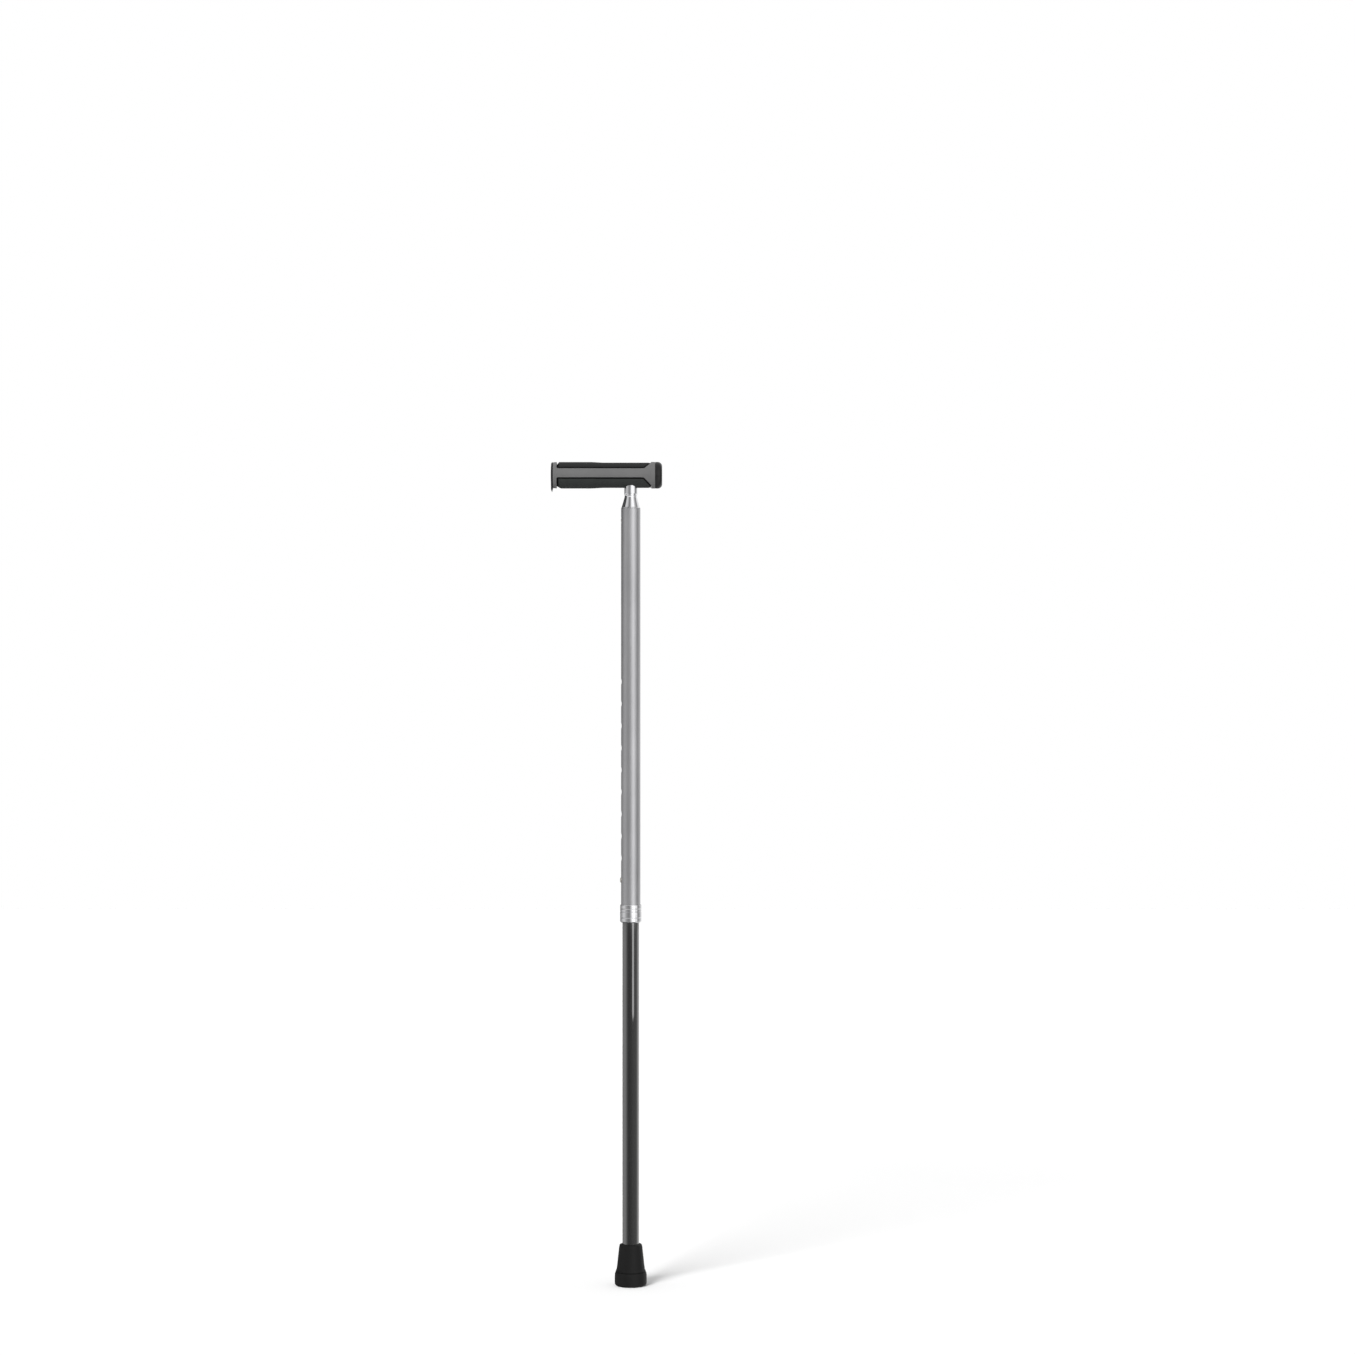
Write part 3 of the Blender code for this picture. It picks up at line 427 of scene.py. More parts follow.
def moulded_black_rubber():
    """Vulcanised rubber from a blasted mould: black, matt, with a fine even grain."""
    material, tree, shader = finish_of("moulded_black_rubber", "#0d0d0d", specular_ior_level=0.22)
    place = add(tree, "ShaderNodeTexCoord", {}).outputs["Object"]
    # The mould's grain is about 0.1 mm; it is 0.3 mm here so that it shows.
    grain = stretched_noise(tree, place, 0.0003, 3.0).outputs["Fac"]
    bloom = stretched_noise(tree, place, 0.009, 3.0).outputs["Fac"]
    tree.links.new(two_tone(tree, bloom, "#0b0b0b", "#0f0f0f"), shader.inputs["Base Color"])
    tree.links.new(spread(tree, bloom, 0.50, 0.62), shader.inputs["Roughness"])
    bump = add(tree, "ShaderNodeBump", {"Strength": 0.35, "Distance": 0.00004}, {"Height": grain})
    tree.links.new(bump.outputs["Normal"], shader.inputs["Normal"])
    return material


def soft_grip_rubber(name, dark, light, rough, gloss, grain_depth):
    """Thermoplastic rubber moulded over the handle: dark grey, dull, slightly greenish."""
    material, tree, shader = finish_of(name, dark, specular_ior_level=gloss)
    place = add(tree, "ShaderNodeTexCoord", {}).outputs["Object"]
    # The spark grain is about 0.1 mm; it is 0.35 mm here so that it shows.
    grain = stretched_noise(tree, place, 0.00035, 2.0).outputs["Fac"]
    cloud = stretched_noise(tree, place, 0.006, 3.0, offset=0.3).outputs["Fac"]
    tree.links.new(two_tone(tree, cloud, dark, light), shader.inputs["Base Color"])
    tree.links.new(spread(tree, cloud, rough - 0.05, rough + 0.05), shader.inputs["Roughness"])
    settings = {"Strength": 0.5, "Distance": grain_depth}
    bump = add(tree, "ShaderNodeBump", settings, {"Height": grain})
    tree.links.new(bump.outputs["Normal"], shader.inputs["Normal"])
    return material


def moulded_abs(name, dark, light, rough, gloss):
    """Moulded ABS from a spark-eroded tool: an even colour under a fine dull grain."""
    material, tree, shader = finish_of(name, dark, ior=1.53, specular_ior_level=gloss)
    place = add(tree, "ShaderNodeTexCoord", {}).outputs["Object"]
    # The tool's grain is about 0.1 mm; it is 0.3 mm here so that it shows.
    grain = stretched_noise(tree, place, 0.0003, 2.0).outputs["Fac"]
    cloud = stretched_noise(tree, place, 0.008, 2.0).outputs["Fac"]
    tree.links.new(two_tone(tree, cloud, dark, light), shader.inputs["Base Color"])
    tree.links.new(spread(tree, cloud, rough - 0.04, rough + 0.04), shader.inputs["Roughness"])
    bump = add(tree, "ShaderNodeBump", {"Strength": 0.3, "Distance": 0.00003}, {"Height": grain})
    tree.links.new(bump.outputs["Normal"], shader.inputs["Normal"])
    return material


def natural_nylon():
    """Undyed nylon: creamy and a little waxy, light passing a short way in."""
    material, tree, shader = finish_of(
        "natural_nylon", "#d8d2c2", ior=1.53, subsurface_weight=0.15, subsurface_scale=0.001
    )
    place = add(tree, "ShaderNodeTexCoord", {}).outputs["Object"]
    cloud = stretched_noise(tree, place, 0.003, 2.0).outputs["Fac"]
    tree.links.new(two_tone(tree, cloud, "#d3ccba", "#dcd7c8"), shader.inputs["Base Color"])
    tree.links.new(spread(tree, cloud, 0.36, 0.46), shader.inputs["Roughness"])
    return material


SATIN = satin_anodised_aluminium()
BLACK_METAL = black_anodised_aluminium()
POLISHED = polished_aluminium()
NICKEL = nickel_plated_steel()
SPRING_STEEL = tempered_spring_steel()
RUBBER = moulded_black_rubber()
GREY_ABS = moulded_abs("grey_moulded_abs", "#595959", "#5d5d5d", 0.46, 0.50)
BLACK_ABS = moulded_abs("black_moulded_abs", "#0d0d0d", "#101010", 0.38, 0.30)
# The palm inlay's rubber is darker and less shiny than the finger inlay's: painted shade that evens out
# the stronger light on the handle's top.
GRIP_TOP = soft_grip_rubber("soft_grip_rubber_plain", "#151616", "#181919", 0.62, 0.28, 0.00004)
GRIP_DOTTED = soft_grip_rubber("soft_grip_rubber_dotted", "#202322", "#252827", 0.66, 0.35, 0.00004)
# This near-black, barely shiny rubber is painted shade: it stands in for the shadow in the groove round
# each inlay.
PAINTED_SHADE_BORDER_RUBBER = soft_grip_rubber("soft_grip_rubber_border_painted_shade", "#050505", "#060606", 0.60, 0.12, 0.00001)
NYLON = natural_nylon()


def grid(points, around=False, look=0):
    """Quads between neighbours of an array of points (rows, columns, 3).

    Around joins the last column to the first, and look is the finish of each quad.
    """
    rows, columns = points.shape[:2]
    index = np.arange(rows * columns).reshape(rows, columns)
    if around:
        index = np.concatenate([index, index[:, :1]], axis=1)
    quads = np.stack([index[:-1, :-1], index[:-1, 1:], index[1:, 1:], index[1:, :-1]], axis=-1)
    looks = np.broadcast_to(look, quads.shape[:2])
    return points.reshape(-1, 3), quads.reshape(-1, 4), looks.ravel()


def make(name, sheets, finishes, body, node):
    """Weld grids into one closed surface and let it stand for its solid."""
    starts = np.cumsum([0] + [len(s[0]) for s in sheets[:-1]])
    points = np.concatenate([s[0] for s in sheets])
    quads = np.concatenate([s[1] + start for s, start in zip(sheets, starts)])
    looks = np.concatenate([s[2] for s in sheets])
    mesh = bpy.data.meshes.new(name)
    mesh.from_pydata(points.tolist(), [], quads.tolist())
    mesh.polygons.foreach_set("material_index", looks.astype(np.int32))
    work = bmesh.new()
    work.from_mesh(mesh)
    bmesh.ops.remove_doubles(work, verts=work.verts, dist=WELD)
    bmesh.ops.recalc_face_normals(work, faces=work.faces)
    work.to_mesh(mesh)
    work.free()
    mesh.shade_smooth()
    mesh.set_sharp_from_angle(angle=math.radians(SHARP_ANGLE))
    for material in finishes:
        mesh.materials.append(material)
    piece = bpy.data.objects.new(name, mesh)
    bpy.context.scene.collection.objects.link(piece)
    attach(piece, body)
    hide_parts(node)
    return piece


def outline(corners, closed=False, steps=ARC_STEPS):
    """Points along corners (a, b, radius), with an arc at each radius above 0.

    A point just before and just after each arc keeps flat faces flat in the shading.
    Two arcs share the side between them, and one alone may take nearly all of it.
    """
    places = np.array([c[:2] for c in corners], float)
    radii = np.array([c[2] for c in corners])
    shares = np.where(radii > 0, SHARED_SIDE, LONE_SIDE)
    parts = []
    last = len(corners) - 1
    for i, (_, _, radius) in enumerate(corners):
        corner = places[i]
        if radius <= 0 or (not closed and i in (0, last)):
            parts.append(corner[None])
            continue
        back = places[i - 1] - corner
        following = (i + 1) % len(corners)
        ahead = places[following] - corner
        long_back, long_ahead = np.linalg.norm(back), np.linalg.norm(ahead)
        back, ahead = back / long_back, ahead / long_ahead
        half = math.acos(float(np.clip(back @ ahead, -1, 1))) / 2
        room = min(shares[i - 1] * long_back, shares[following] * long_ahead)
        reach = min(radius / math.tan(half), room)
        bend = reach * math.tan(half)
        middle = (back + ahead) / np.linalg.norm(back + ahead)
        centre = corner + middle * bend / math.sin(half)
        start = (corner + back * reach - centre) / bend
        end = (corner + ahead * reach - centre) / bend
        sweep = math.pi - 2 * half
        t = np.linspace(0, 1, steps + 1)[:, None]
        spokes = (start * np.sin((1 - t) * sweep) + end * np.sin(t * sweep)) / math.sin(sweep)
        before = corner + back * (reach + min(SUPPORT, SUPPORT_SHARE * long_back))
        after = corner + ahead * (reach + min(SUPPORT, SUPPORT_SHARE * long_ahead))
        parts += [before[None], centre + spokes * bend, after[None]]
    return np.concatenate(parts)


def turned(path, angles=None, steps=TURN_STEPS):
    """Turn a path (radius, height) about Z: x = r cos a, y = r sin a, z = height."""
    if angles is None:
        angles = np.arange(steps) * 2 * np.pi / steps
    radius, height = path[:, 0, None], path[:, 1, None]
    around = [radius * np.cos(angles), radius * np.sin(angles), height + 0 * angles]
    return grid(np.stack(around, axis=-1), around=True)


def turned_section(corners, arc_steps=ARC_STEPS, steps=TURN_STEPS):
    """Turn a closed section about Z into a ring."""
    path = outline(corners, closed=True, steps=arc_steps)
    return turned(np.concatenate([path, path[:1]]), steps=steps)


def smooth(t):
    """A smooth step from 0 to 1: 3 t^2 - 2 t^3, and level outside 0 to 1."""
    t = np.clip(t, 0, 1)
    return t * t * (3 - 2 * t)


def tip():
    """The rubber ferrule: a cone on a wide foot, with a moulding groove and tread rings."""
    _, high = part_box("rubber_tip")
    bore = LOWER_RADIUS + GAP
    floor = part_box("tip_washer")[0].z - GAP
    rim = bore + TIP_RIM_WIDTH
    cone = rim + TIP_RIM_SLOPE
    corners = [
        (0.0, floor, 0.0),
        (bore, floor, EASED),
        (bore, high.z, SOFT),
        (rim, high.z, TIP_RIM_ROUNDING),
        (cone, high.z - TIP_RIM_DROP, TIP_CONE_ROUNDING),
        (cone + TIP_CONE_SPREAD, TIP_CONE_FOOT, TIP_CONE_FOOT_ROUNDING),
    ]
    corners += [(high.x - inset, height, rounding) for inset, height, rounding in TIP_FOOT]
    for inner in TREAD_RADII:
        outer = inner + TREAD_WIDTH
        corners += [(outer, 0.0, BROKEN), (outer, TREAD_DEPTH, BROKEN)]
        corners += [(inner, TREAD_DEPTH, BROKEN), (inner, 0.0, BROKEN)]
    corners.append((0.0, 0.0, 0.0))
    make("tip_ferrule", [turned(outline(corners))], [RUBBER], "lower_leg", "rubber_tip")


def tip_disc():
    """The stamped steel disc in the tip, with broken edges."""
    low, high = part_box("tip_washer")
    radius = high.x
    corners = [
        (0.0, high.z, 0.0),
        (radius, high.z, CRISP),
        (radius, low.z, CRISP),
        (0.0, low.z, 0.0),
    ]
    sheets = [turned(outline(corners, steps=3), steps=SMALL_TURN_STEPS)]
    make("tip_disc", sheets, [NICKEL], "lower_leg", "tip_washer")


def tube_columns(share):
    """Angles round a drilled tube: even over the back, and even in y over the holes' strip."""
    strip = math.asin(share)
    back = np.linspace(-np.pi + strip, np.pi - strip, TURN_STEPS - WINDOW_SIDE + 1)
    across = np.linspace(-share, share, WINDOW_SIDE + 1)
    return back, np.pi + np.arcsin(across)[1:-1]


def hole_window(outer, inner, share, middle, half, radius):
    """Both skins of a tube round one hole, and the hole's wall between them.

    Rows run from a rectangle in (y / R, z) to the hole's circle, on the skin
    x = -R sqrt(1 - (y / R)^2), then through the wall and out again inside.
    """
    side = np.linspace(-1, 1, WINDOW_SIDE + 1)
    ends = np.full(WINDOW_SIDE, 1.0)
    across = np.concatenate([side[:-1], ends, side[:0:-1], -ends])
    up = np.concatenate([-ends, side[:-1], ends, side[:0:-1]])
    turn = np.arctan2(up, across)
    share_left = np.linspace(1, 0, WINDOW_ROWS + 1)[:, None]

    def skin(tube, edge, inset):
        """The rows on one skin, from the rectangle to a circle of the edge's radius."""
        y = share_left * across * share * tube + (1 - share_left) * edge * np.cos(turn)
        z = share_left * up * half + (1 - share_left) * edge * np.sin(turn)
        x = -np.sqrt(tube**2 - y**2) + inset * (share_left == 0)
        return np.stack([x, y, z + middle], axis=-1)

    outside = skin(outer, radius + HOLE_EDGE, 0.0)
    inside = skin(inner, radius, 0.0)
    lip = skin(outer, radius, HOLE_EDGE)[-1:]
    return grid(np.concatenate([outside, lip, inside[::-1]]), around=True)


def drilled_tube(outer, inner, holes, ends):
    """Skins of a tube with holes in its -X side.

    Holes lists (height, half window, radius) from the lowest up, and ends lists
    paths (radius, height) that close the tube below and above its windows.
    """
    share = HOLE_RADIUS * STRIP_RATIO / outer
    back, strip = tube_columns(share)
    columns = np.concatenate([back, strip])
    sheets = [turned(path, columns) for path in ends]
    for middle, half, radius in holes:
        sheets.append(hole_window(outer, inner, share, middle, half, radius))
        rows = np.linspace(middle - half, middle + half, WINDOW_SIDE + 1)[:, None]
        for skin in (outer, inner):
            places = [skin * np.cos(back), skin * np.sin(back), rows + 0 * back]
            sheets.append(grid(np.stack(np.broadcast_arrays(*places), axis=-1)))
    tops = [middle + half for middle, half, _ in holes]
    bottoms = [middle - half for middle, half, _ in holes]
    for top, bottom in zip(tops[:-1], bottoms[1:]):
        if bottom - top > WELD:
            heights = np.linspace(top, bottom, 3)
            for skin in (outer, inner):
                path = np.stack([np.full(3, skin), heights], axis=-1)
                sheets.append(turned(path, columns))
    return sheets


def tube_end(outer, inner, start, end, outer_rounding):
    """The path over a tube's end, from one skin at start to the other."""
    corners = [(outer, start, 0.0), (outer, end, outer_rounding)]
    corners += [(inner, end, CRISP), (inner, start, 0.0)]
    return outline(corners)


def leg_tube():
    """The black lower tube, drilled once for the height button."""
    low, high = HEIGHT_BUTTON_Z - LONE_WINDOW, HEIGHT_BUTTON_Z + LONE_WINDOW
    ends = [
        tube_end(LOWER_RADIUS, LOWER_BORE, low, LOWER_Z, BROKEN),
        tube_end(LOWER_RADIUS, LOWER_BORE, high, LOWER_TOP, BROKEN),
    ]
    holes = [(HEIGHT_BUTTON_Z, LONE_WINDOW, HOLE_RADIUS)]
    sheets = drilled_tube(LOWER_RADIUS, LOWER_BORE, holes, ends)
    make("leg_tube", sheets, [BLACK_METAL], "lower_leg", "lower_tube")


def shaft_tube():
    """The satin upper tube: ten height holes, and one for the head's button."""
    holes = [(HEIGHT_BUTTON_Z + i * HOLE_PITCH, HOLE_PITCH / 2, HOLE_RADIUS) for i in range(HOLE_COUNT)]
    holes.append((HEAD_BUTTON_Z, LONE_WINDOW, HOLE_RADIUS))
    ends = [
        tube_end(UPPER_RADIUS, UPPER_BORE, HEIGHT_BUTTON_Z - HOLE_PITCH / 2, UPPER_Z, BROKEN),
        tube_end(UPPER_RADIUS, UPPER_BORE, HEAD_BUTTON_Z + LONE_WINDOW, RIM_Z, RIM_ROUNDING),
    ]
    sheets = drilled_tube(UPPER_RADIUS, UPPER_BORE, holes, ends)
    make("shaft_tube", sheets, [SATIN], "upper_shaft", "upper_tube")


def bush():
    """The nylon bush on the leg tube's top, with a flange that guides it."""
    low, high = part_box("guide_bush")
    plug = LOWER_BORE - GAP
    bore = plug - BUSH_WALL
    foot = LOWER_TOP + GAP
    corners = [
        (bore, high.z, BROKEN),
        (high.x, high.z, SOFT),
        (high.x, foot, CRISP),
        (plug, foot, 0.0),
        (plug, low.z, SOFT),
        (bore, low.z, BROKEN),
    ]
    make("leg_bush", [turned_section(corners)], [NYLON], "lower_leg", "guide_bush")


def squeeze_ring():
    """The nylon ring that the collar squeezes onto the leg tube."""
    low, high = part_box("compression_ring")
    bore = LOWER_RADIUS + GAP
    corners = [
        (bore, high.z, BROKEN),
        (high.x, high.z, SOFT),
        (high.x, low.z, SOFT),
        (bore, low.z, BROKEN),
    ]
    sheets = [turned_section(corners)]
    make("squeeze_ring", sheets, [NYLON], "upper_shaft", "compression_ring")


def collar():
    """The polished collar: fine V grooves, a faint taper up, and a chamfered foot."""
    low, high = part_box("lock_collar")
    radius, top = high.x, high.z
    bore = UPPER_RADIUS + GAP
    leg_bore = LOWER_RADIUS + GAP
    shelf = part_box("compression_ring")[0].z - GAP
    length = top - low.z - COLLAR_CHAMFER

    def side(height, depth=0.0):
        """The side's radius at a height: r - taper (z - start) / length - depth."""
        return radius - COLLAR_TAPER * (height - low.z - COLLAR_CHAMFER) / length - depth

    corners = [(bore, top, CRISP), (side(top), top, SOFT)]
    for drop, width, depth in COLLAR_GROOVES:
        for height, cut in ((width / 2, 0.0), (0.0, depth), (-width / 2, 0.0)):
            corners.append((side(top - drop + height, cut), top - drop + height, HAIRLINE))
    corners += [
        (radius, low.z + COLLAR_CHAMFER, EASED),
        (radius - COLLAR_CHAMFER_RUN, low.z, CRISP),
        (leg_bore, low.z, CRISP),
        (leg_bore, shelf, 0.0),
        (bore, shelf, 0.0),
    ]
    sheets = [turned_section(corners, arc_steps=4)]
    make("collar_ring", sheets, [POLISHED], "lock_collar", "lock_collar")


def flange_reach(bore):
    """How far out a button's flange sits inside a bore."""
    return math.sqrt(bore**2 - (BUTTON_RADIUS + FLANGE_WIDTH) ** 2) - GAP


def button(name, node, body, height, bore):
    """A domed pin through the tubes' walls, with a flange behind them."""
    front = -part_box(node)[0].x
    seat = flange_reach(bore)
    turn = np.linspace(0, np.pi / 2, 13)
    dome = np.stack([BUTTON_RADIUS * np.sin(turn), front - BUTTON_DOME * (1 - np.cos(turn))], axis=-1)
    flange = BUTTON_RADIUS + FLANGE_WIDTH
    corners = [
        (BUTTON_RADIUS, front - BUTTON_DOME, 0.0),
        (BUTTON_RADIUS, seat, BROKEN),
        (flange, seat, CRISP),
        (flange, seat - FLANGE_DEPTH, CRISP),
        (0.0, seat - FLANGE_DEPTH, 0.0),
    ]
    path = np.concatenate([dome, outline(corners, steps=3)[1:]])
    places, quads, looks = turned(path, steps=SMALL_TURN_STEPS)
    # The pin's axis is turned from +Z to -X.
    laid = np.stack([-places[:, 2], places[:, 1], places[:, 0] + height], axis=-1)
    make(name, [(laid, quads, looks)], [NICKEL], body, node)


def leaf_spring(name, node, body, height, bore):
    """A strip carried along a hairpin path in the XZ plane, with rounded edges."""
    near = flange_reach(bore) - FLANGE_DEPTH - GAP - SPRING_THICKNESS / 2
    far = math.sqrt(bore**2 - (SPRING_WIDTH / 2) ** 2) - GAP - SPRING_THICKNESS / 2
    corners = [
        (-near, SPRING_RISE, 0.0),
        (-near, -SPRING_RISE, SPRING_BEND),
        (far - 2 * SPRING_BEND, -SPRING_DEPTH, SPRING_BEND),
        (far, -SPRING_DEPTH, SPRING_BEND),
        (far, SPRING_RISE, 0.0),
    ]
    path = outline(corners, steps=8)
    along = np.gradient(path, axis=0)
    along /= np.linalg.norm(along, axis=1, keepdims=True)
    sideways = np.stack([-along[:, 1], along[:, 0]], axis=-1)
    half, edge = SPRING_WIDTH / 2, SPRING_THICKNESS / 2
    corner = outline(
        [(half, edge, CRISP), (-half, edge, CRISP), (-half, -edge, CRISP), (half, -edge, CRISP)],
        closed=True,
        steps=3,
    )
    # One more row at each end shrinks to a point, which closes the strip.
    rows = np.ones((len(path) + 2, 1))
    rows[[0, -1]] = 0
    path = np.concatenate([path[:1], path, path[-1:]])
    sideways = np.concatenate([sideways[:1], sideways, sideways[-1:]])
    x = path[:, 0, None] + sideways[:, 0, None] * corner[:, 1] * rows
    z = path[:, 1, None] + sideways[:, 1, None] * corner[:, 1] * rows + height
    y = corner[:, 0] * rows
    make(name, [grid(np.stack([x, y, z], axis=-1), around=True)], [SPRING_STEEL], body, node)


def neck_bell():
    """The polished neck: a waisted bell with a shoulder, on a hollow spigot with the button's hole.

    The bell is a straight cone whose start is rounded: its share of the widening is
    (hypot(t, c) - c) / (hypot(1, c) - c).
    """
    waist = RIM_Z + NECK_WAIST_RISE
    foot = RIM_Z + NECK_FOOT_RISE
    t = np.linspace(0, 1, 40)
    c = NECK_FLARE_BLEND
    flare = (np.hypot(t, c) - c) / (math.hypot(1, c) - c)
    widened = (NECK_FOOT_RADIUS - NECK_WAIST_RADIUS) * flare
    bell = np.stack([NECK_WAIST_RADIUS + widened, waist + (foot - waist) * t], -1)
    bolt_bore = BOLT_RADIUS + GAP
    bolt_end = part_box("neck_bolt")[0].z - GAP
    top = [
        (0.0, bolt_end, 0.0),
        (bolt_bore, bolt_end, 0.0),
        (bolt_bore, NECK_TOP_Z, BROKEN),
        (NECK_TOP_RADIUS, NECK_TOP_Z, EASED),
        (NECK_TOP_RADIUS, waist + NECK_TOP_RUN, 0.0),
    ]
    t = np.linspace(0, 1, 12)[1:-1]
    narrowed = (NECK_TOP_RADIUS - NECK_WAIST_RADIUS) * smooth(t)
    throat = np.stack([NECK_TOP_RADIUS - narrowed, waist + NECK_TOP_RUN * (1 - t)], -1)
    window_top = HEAD_BUTTON_Z + LONE_WINDOW
    window_bottom = HEAD_BUTTON_Z - LONE_WINDOW
    shoulder = [
        (NECK_FOOT_RADIUS, foot, 0.0),
        (UPPER_RADIUS, foot - NECK_BEVEL, CRISP),
        (UPPER_RADIUS, RIM_Z + GAP, HAIRLINE),
        (SPIGOT_RADIUS, RIM_Z + GAP, 0.0),
        (SPIGOT_RADIUS, window_top, 0.0),
    ]
    outside = np.concatenate([outline(top), throat, bell, outline(shoulder, steps=3)[1:]])
    inside = outline(
        [
            (SPIGOT_BORE, window_top, 0.0),
            (SPIGOT_BORE, HEAD_BUTTON_Z + SPIGOT_BORE_RISE, SOFT),
            (0.0, HEAD_BUTTON_Z + SPIGOT_BORE_RISE, 0.0),
        ]
    )
    foot_end = tube_end(SPIGOT_RADIUS, SPIGOT_BORE, window_bottom, SPIGOT_Z, SPIGOT_ROUNDING)
    holes = [(HEAD_BUTTON_Z, LONE_WINDOW, HOLE_RADIUS)]
    sheets = drilled_tube(SPIGOT_RADIUS, SPIGOT_BORE, holes, [outside, inside, foot_end])
    make("neck_bell", sheets, [POLISHED], "head", "neck")


def neck_screw():
    """The bolt with a hexagon socket.

    Each flat of the socket is radius = half width / cos of the angle from its middle.
    """
    low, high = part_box("neck_bolt")
    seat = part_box("neck_washer")[1].z + GAP
    corners = [
        (0.0, low.z, 0.0),
        (BOLT_RADIUS, low.z, EASED),
        (BOLT_RADIUS, seat, CRISP),
        (high.x, seat, CRISP),
        (high.x, high.z, EASED),
        (SOCKET_RIM, high.z, 0.0),
    ]
    angles = np.arange(SOCKET_TURN_STEPS) * 2 * np.pi / SOCKET_TURN_STEPS
    shank = turned(outline(corners, steps=3), angles)
    flats = SOCKET_HALF / np.cos((angles + np.pi / 6) % (np.pi / 3) - np.pi / 6)
    reach = np.stack([0 * flats + SOCKET_RIM, flats, flats, 0 * flats])
    height = high.z - np.array(SOCKET_SINKS)[:, None] + 0 * flats
    socket = np.stack([reach * np.cos(angles), reach * np.sin(angles), height], axis=-1)
    sheets = [shank, grid(socket, around=True)]
    make("neck_screw", sheets, [NICKEL], "head", "neck_bolt")


def neck_screw_washer():
    """The flat washer under the bolt's head."""
    low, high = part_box("neck_washer")
    corners = [
        (BOLT_RADIUS + GAP, high.z, CRISP),
        (high.x, high.z, BROKEN),
        (high.x, low.z, CRISP),
        (BOLT_RADIUS + GAP, low.z, CRISP),
    ]
    sheets = [turned_section(corners, arc_steps=3, steps=SMALL_TURN_STEPS)]
    make("neck_screw_washer", sheets, [NICKEL], "head", "neck_washer")


def neck_pin():
    """The dowel beside the bolt, which keeps the handle from turning."""
    low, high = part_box("neck_dowel")
    radius = (high.x - low.x) / 2
    corners = [
        (0.0, high.z, 0.0),
        (radius, high.z, BROKEN),
        (radius, low.z, BROKEN),
        (0.0, low.z, 0.0),
    ]
    places, quads, looks = turned(outline(corners, steps=3), steps=PIN_TURN_STEPS)
    moved = places + np.array([(high.x + low.x) / 2, 0.0, 0.0])
    make("neck_pin", [(moved, quads, looks)], [NICKEL], "head", "neck_dowel")


# Arc length from the crest round an oval whose half height is 1, by the angle psi
PSI = np.linspace(0, np.pi, 1441)
ARC_RATE = np.sqrt(np.sin(PSI) ** 2 + (WIDTH_RATIO * np.cos(PSI)) ** 2)
ARC = np.concatenate([[0], np.cumsum((ARC_RATE[1:] + ARC_RATE[:-1]) / 2 * np.diff(PSI))])


def bar_half(x):
    """The bar's half height: smooth steps at the waist and the rear flange, a tapered nose."""
    waist = smooth((WAIST_X + WAIST_LENGTH / 2 - x) / WAIST_LENGTH)
    flare = smooth((x - REAR_FLANGE_X + REAR_FLARE_RUN) / REAR_FLARE_RUN)
    taper = np.clip((FLANGE_X - x) / FLANGE_THICKNESS, 0, 1)
    return REAR_HALF + (NOSE_HALF - REAR_HALF) * waist + REAR_FLARE * flare - FLANGE_STEP * taper


def bar_point(x, half, psi, side=1):
    """A point of the oval: y = -w r sin psi and z = r cos psi, psi from the crest.

    Side is 1 where psi starts at the top and -1 where it starts at the bottom.
    """
    y = -WIDTH_RATIO * half * np.sin(psi)
    z = HANDLE_Z + side * half * np.cos(psi)
    return np.stack(np.broadcast_arrays(x, y, z), axis=-1)


def slant_line(side, inset):
    """Where an inlay's slanted rear edge starts, and where the rear flange stops it."""
    slant = END_SLANT[side]
    return INLAY_END[side] - inset * (math.hypot(1.0, slant) - slant), INLAY_STOP[side] - inset


def edge_arc(x, side, inset, nose):
    """Arc length from the crest to an inlay's edge, at stations x.

    The edge is level along the band and slants to the crest behind. Its corners at
    both ends are quarter circles: s = edge - c + sqrt(c^2 - (c - d)^2).
    """
    end, stop = slant_line(side, inset)
    x = np.minimum(x, stop)
    half = bar_half(x)
    rise = (x - end) / END_SLANT[side]
    rise = (rise + np.sqrt(rise**2 + SLANT_BLEND**2)) / 2
    height = np.clip((BAND[side] + inset + rise) / half, -1, 1)
    arc = half * np.interp(np.arccos(height), PSI, ARC)
    for corner, gone in ((INLAY_CORNER, x - nose), (END_CORNER, stop - x)):
        short = np.clip(corner - gone, 0, corner)
        arc = arc - corner + np.sqrt(corner**2 - short**2)
    return arc


def psi_of(arc, half):
    """The angle from the crest at an arc length."""
    return np.interp(arc / half, ARC, PSI)


def mirrored(front):
    """Add the mirror image of a half section, so that columns run all the way round."""
    back = front[:, -2:0:-1] * np.array([1.0, -1.0, 1.0])
    return np.concatenate([front, back], axis=1)


def lip_fall(distance):
    """How far a pocket's rounded lip has dropped, by the distance from the pocket."""
    left = np.clip(1 - distance / POCKET_FILLET, 0, 1)
    return POCKET_FILLET * (1 - np.sqrt(1 - left**2))


def core_stations(lip, arc):
    """Stations along the bar: close at its ends, its pockets' corners and their slanted edges."""
    parts = [NOSE_X + np.array(CORE_EDGE_RUN), [FLANGE_X - FLANGE_FACE_STEP], FLANGE_X - lip]
    parts += [FLANGE_X + INLAY_CORNER * arc]
    first = FLANGE_X + INLAY_CORNER + CORE_FIRST_STEP
    parts += [np.arange(first, SLANT_START - SLANT_CLEARANCE, CORE_STEP)]
    parts += [np.arange(SLANT_START, REAR_FLANGE_X + SLANT_STEP, SLANT_STEP)]
    parts += [part for stop in INLAY_STOP.values() for part in (stop - END_CORNER * arc, stop + lip)]
    parts += [[REAR_X - CORE_LAST_STEP], REAR_X - np.array(CORE_EDGE_RUN)]
    return np.sort(np.concatenate(parts))


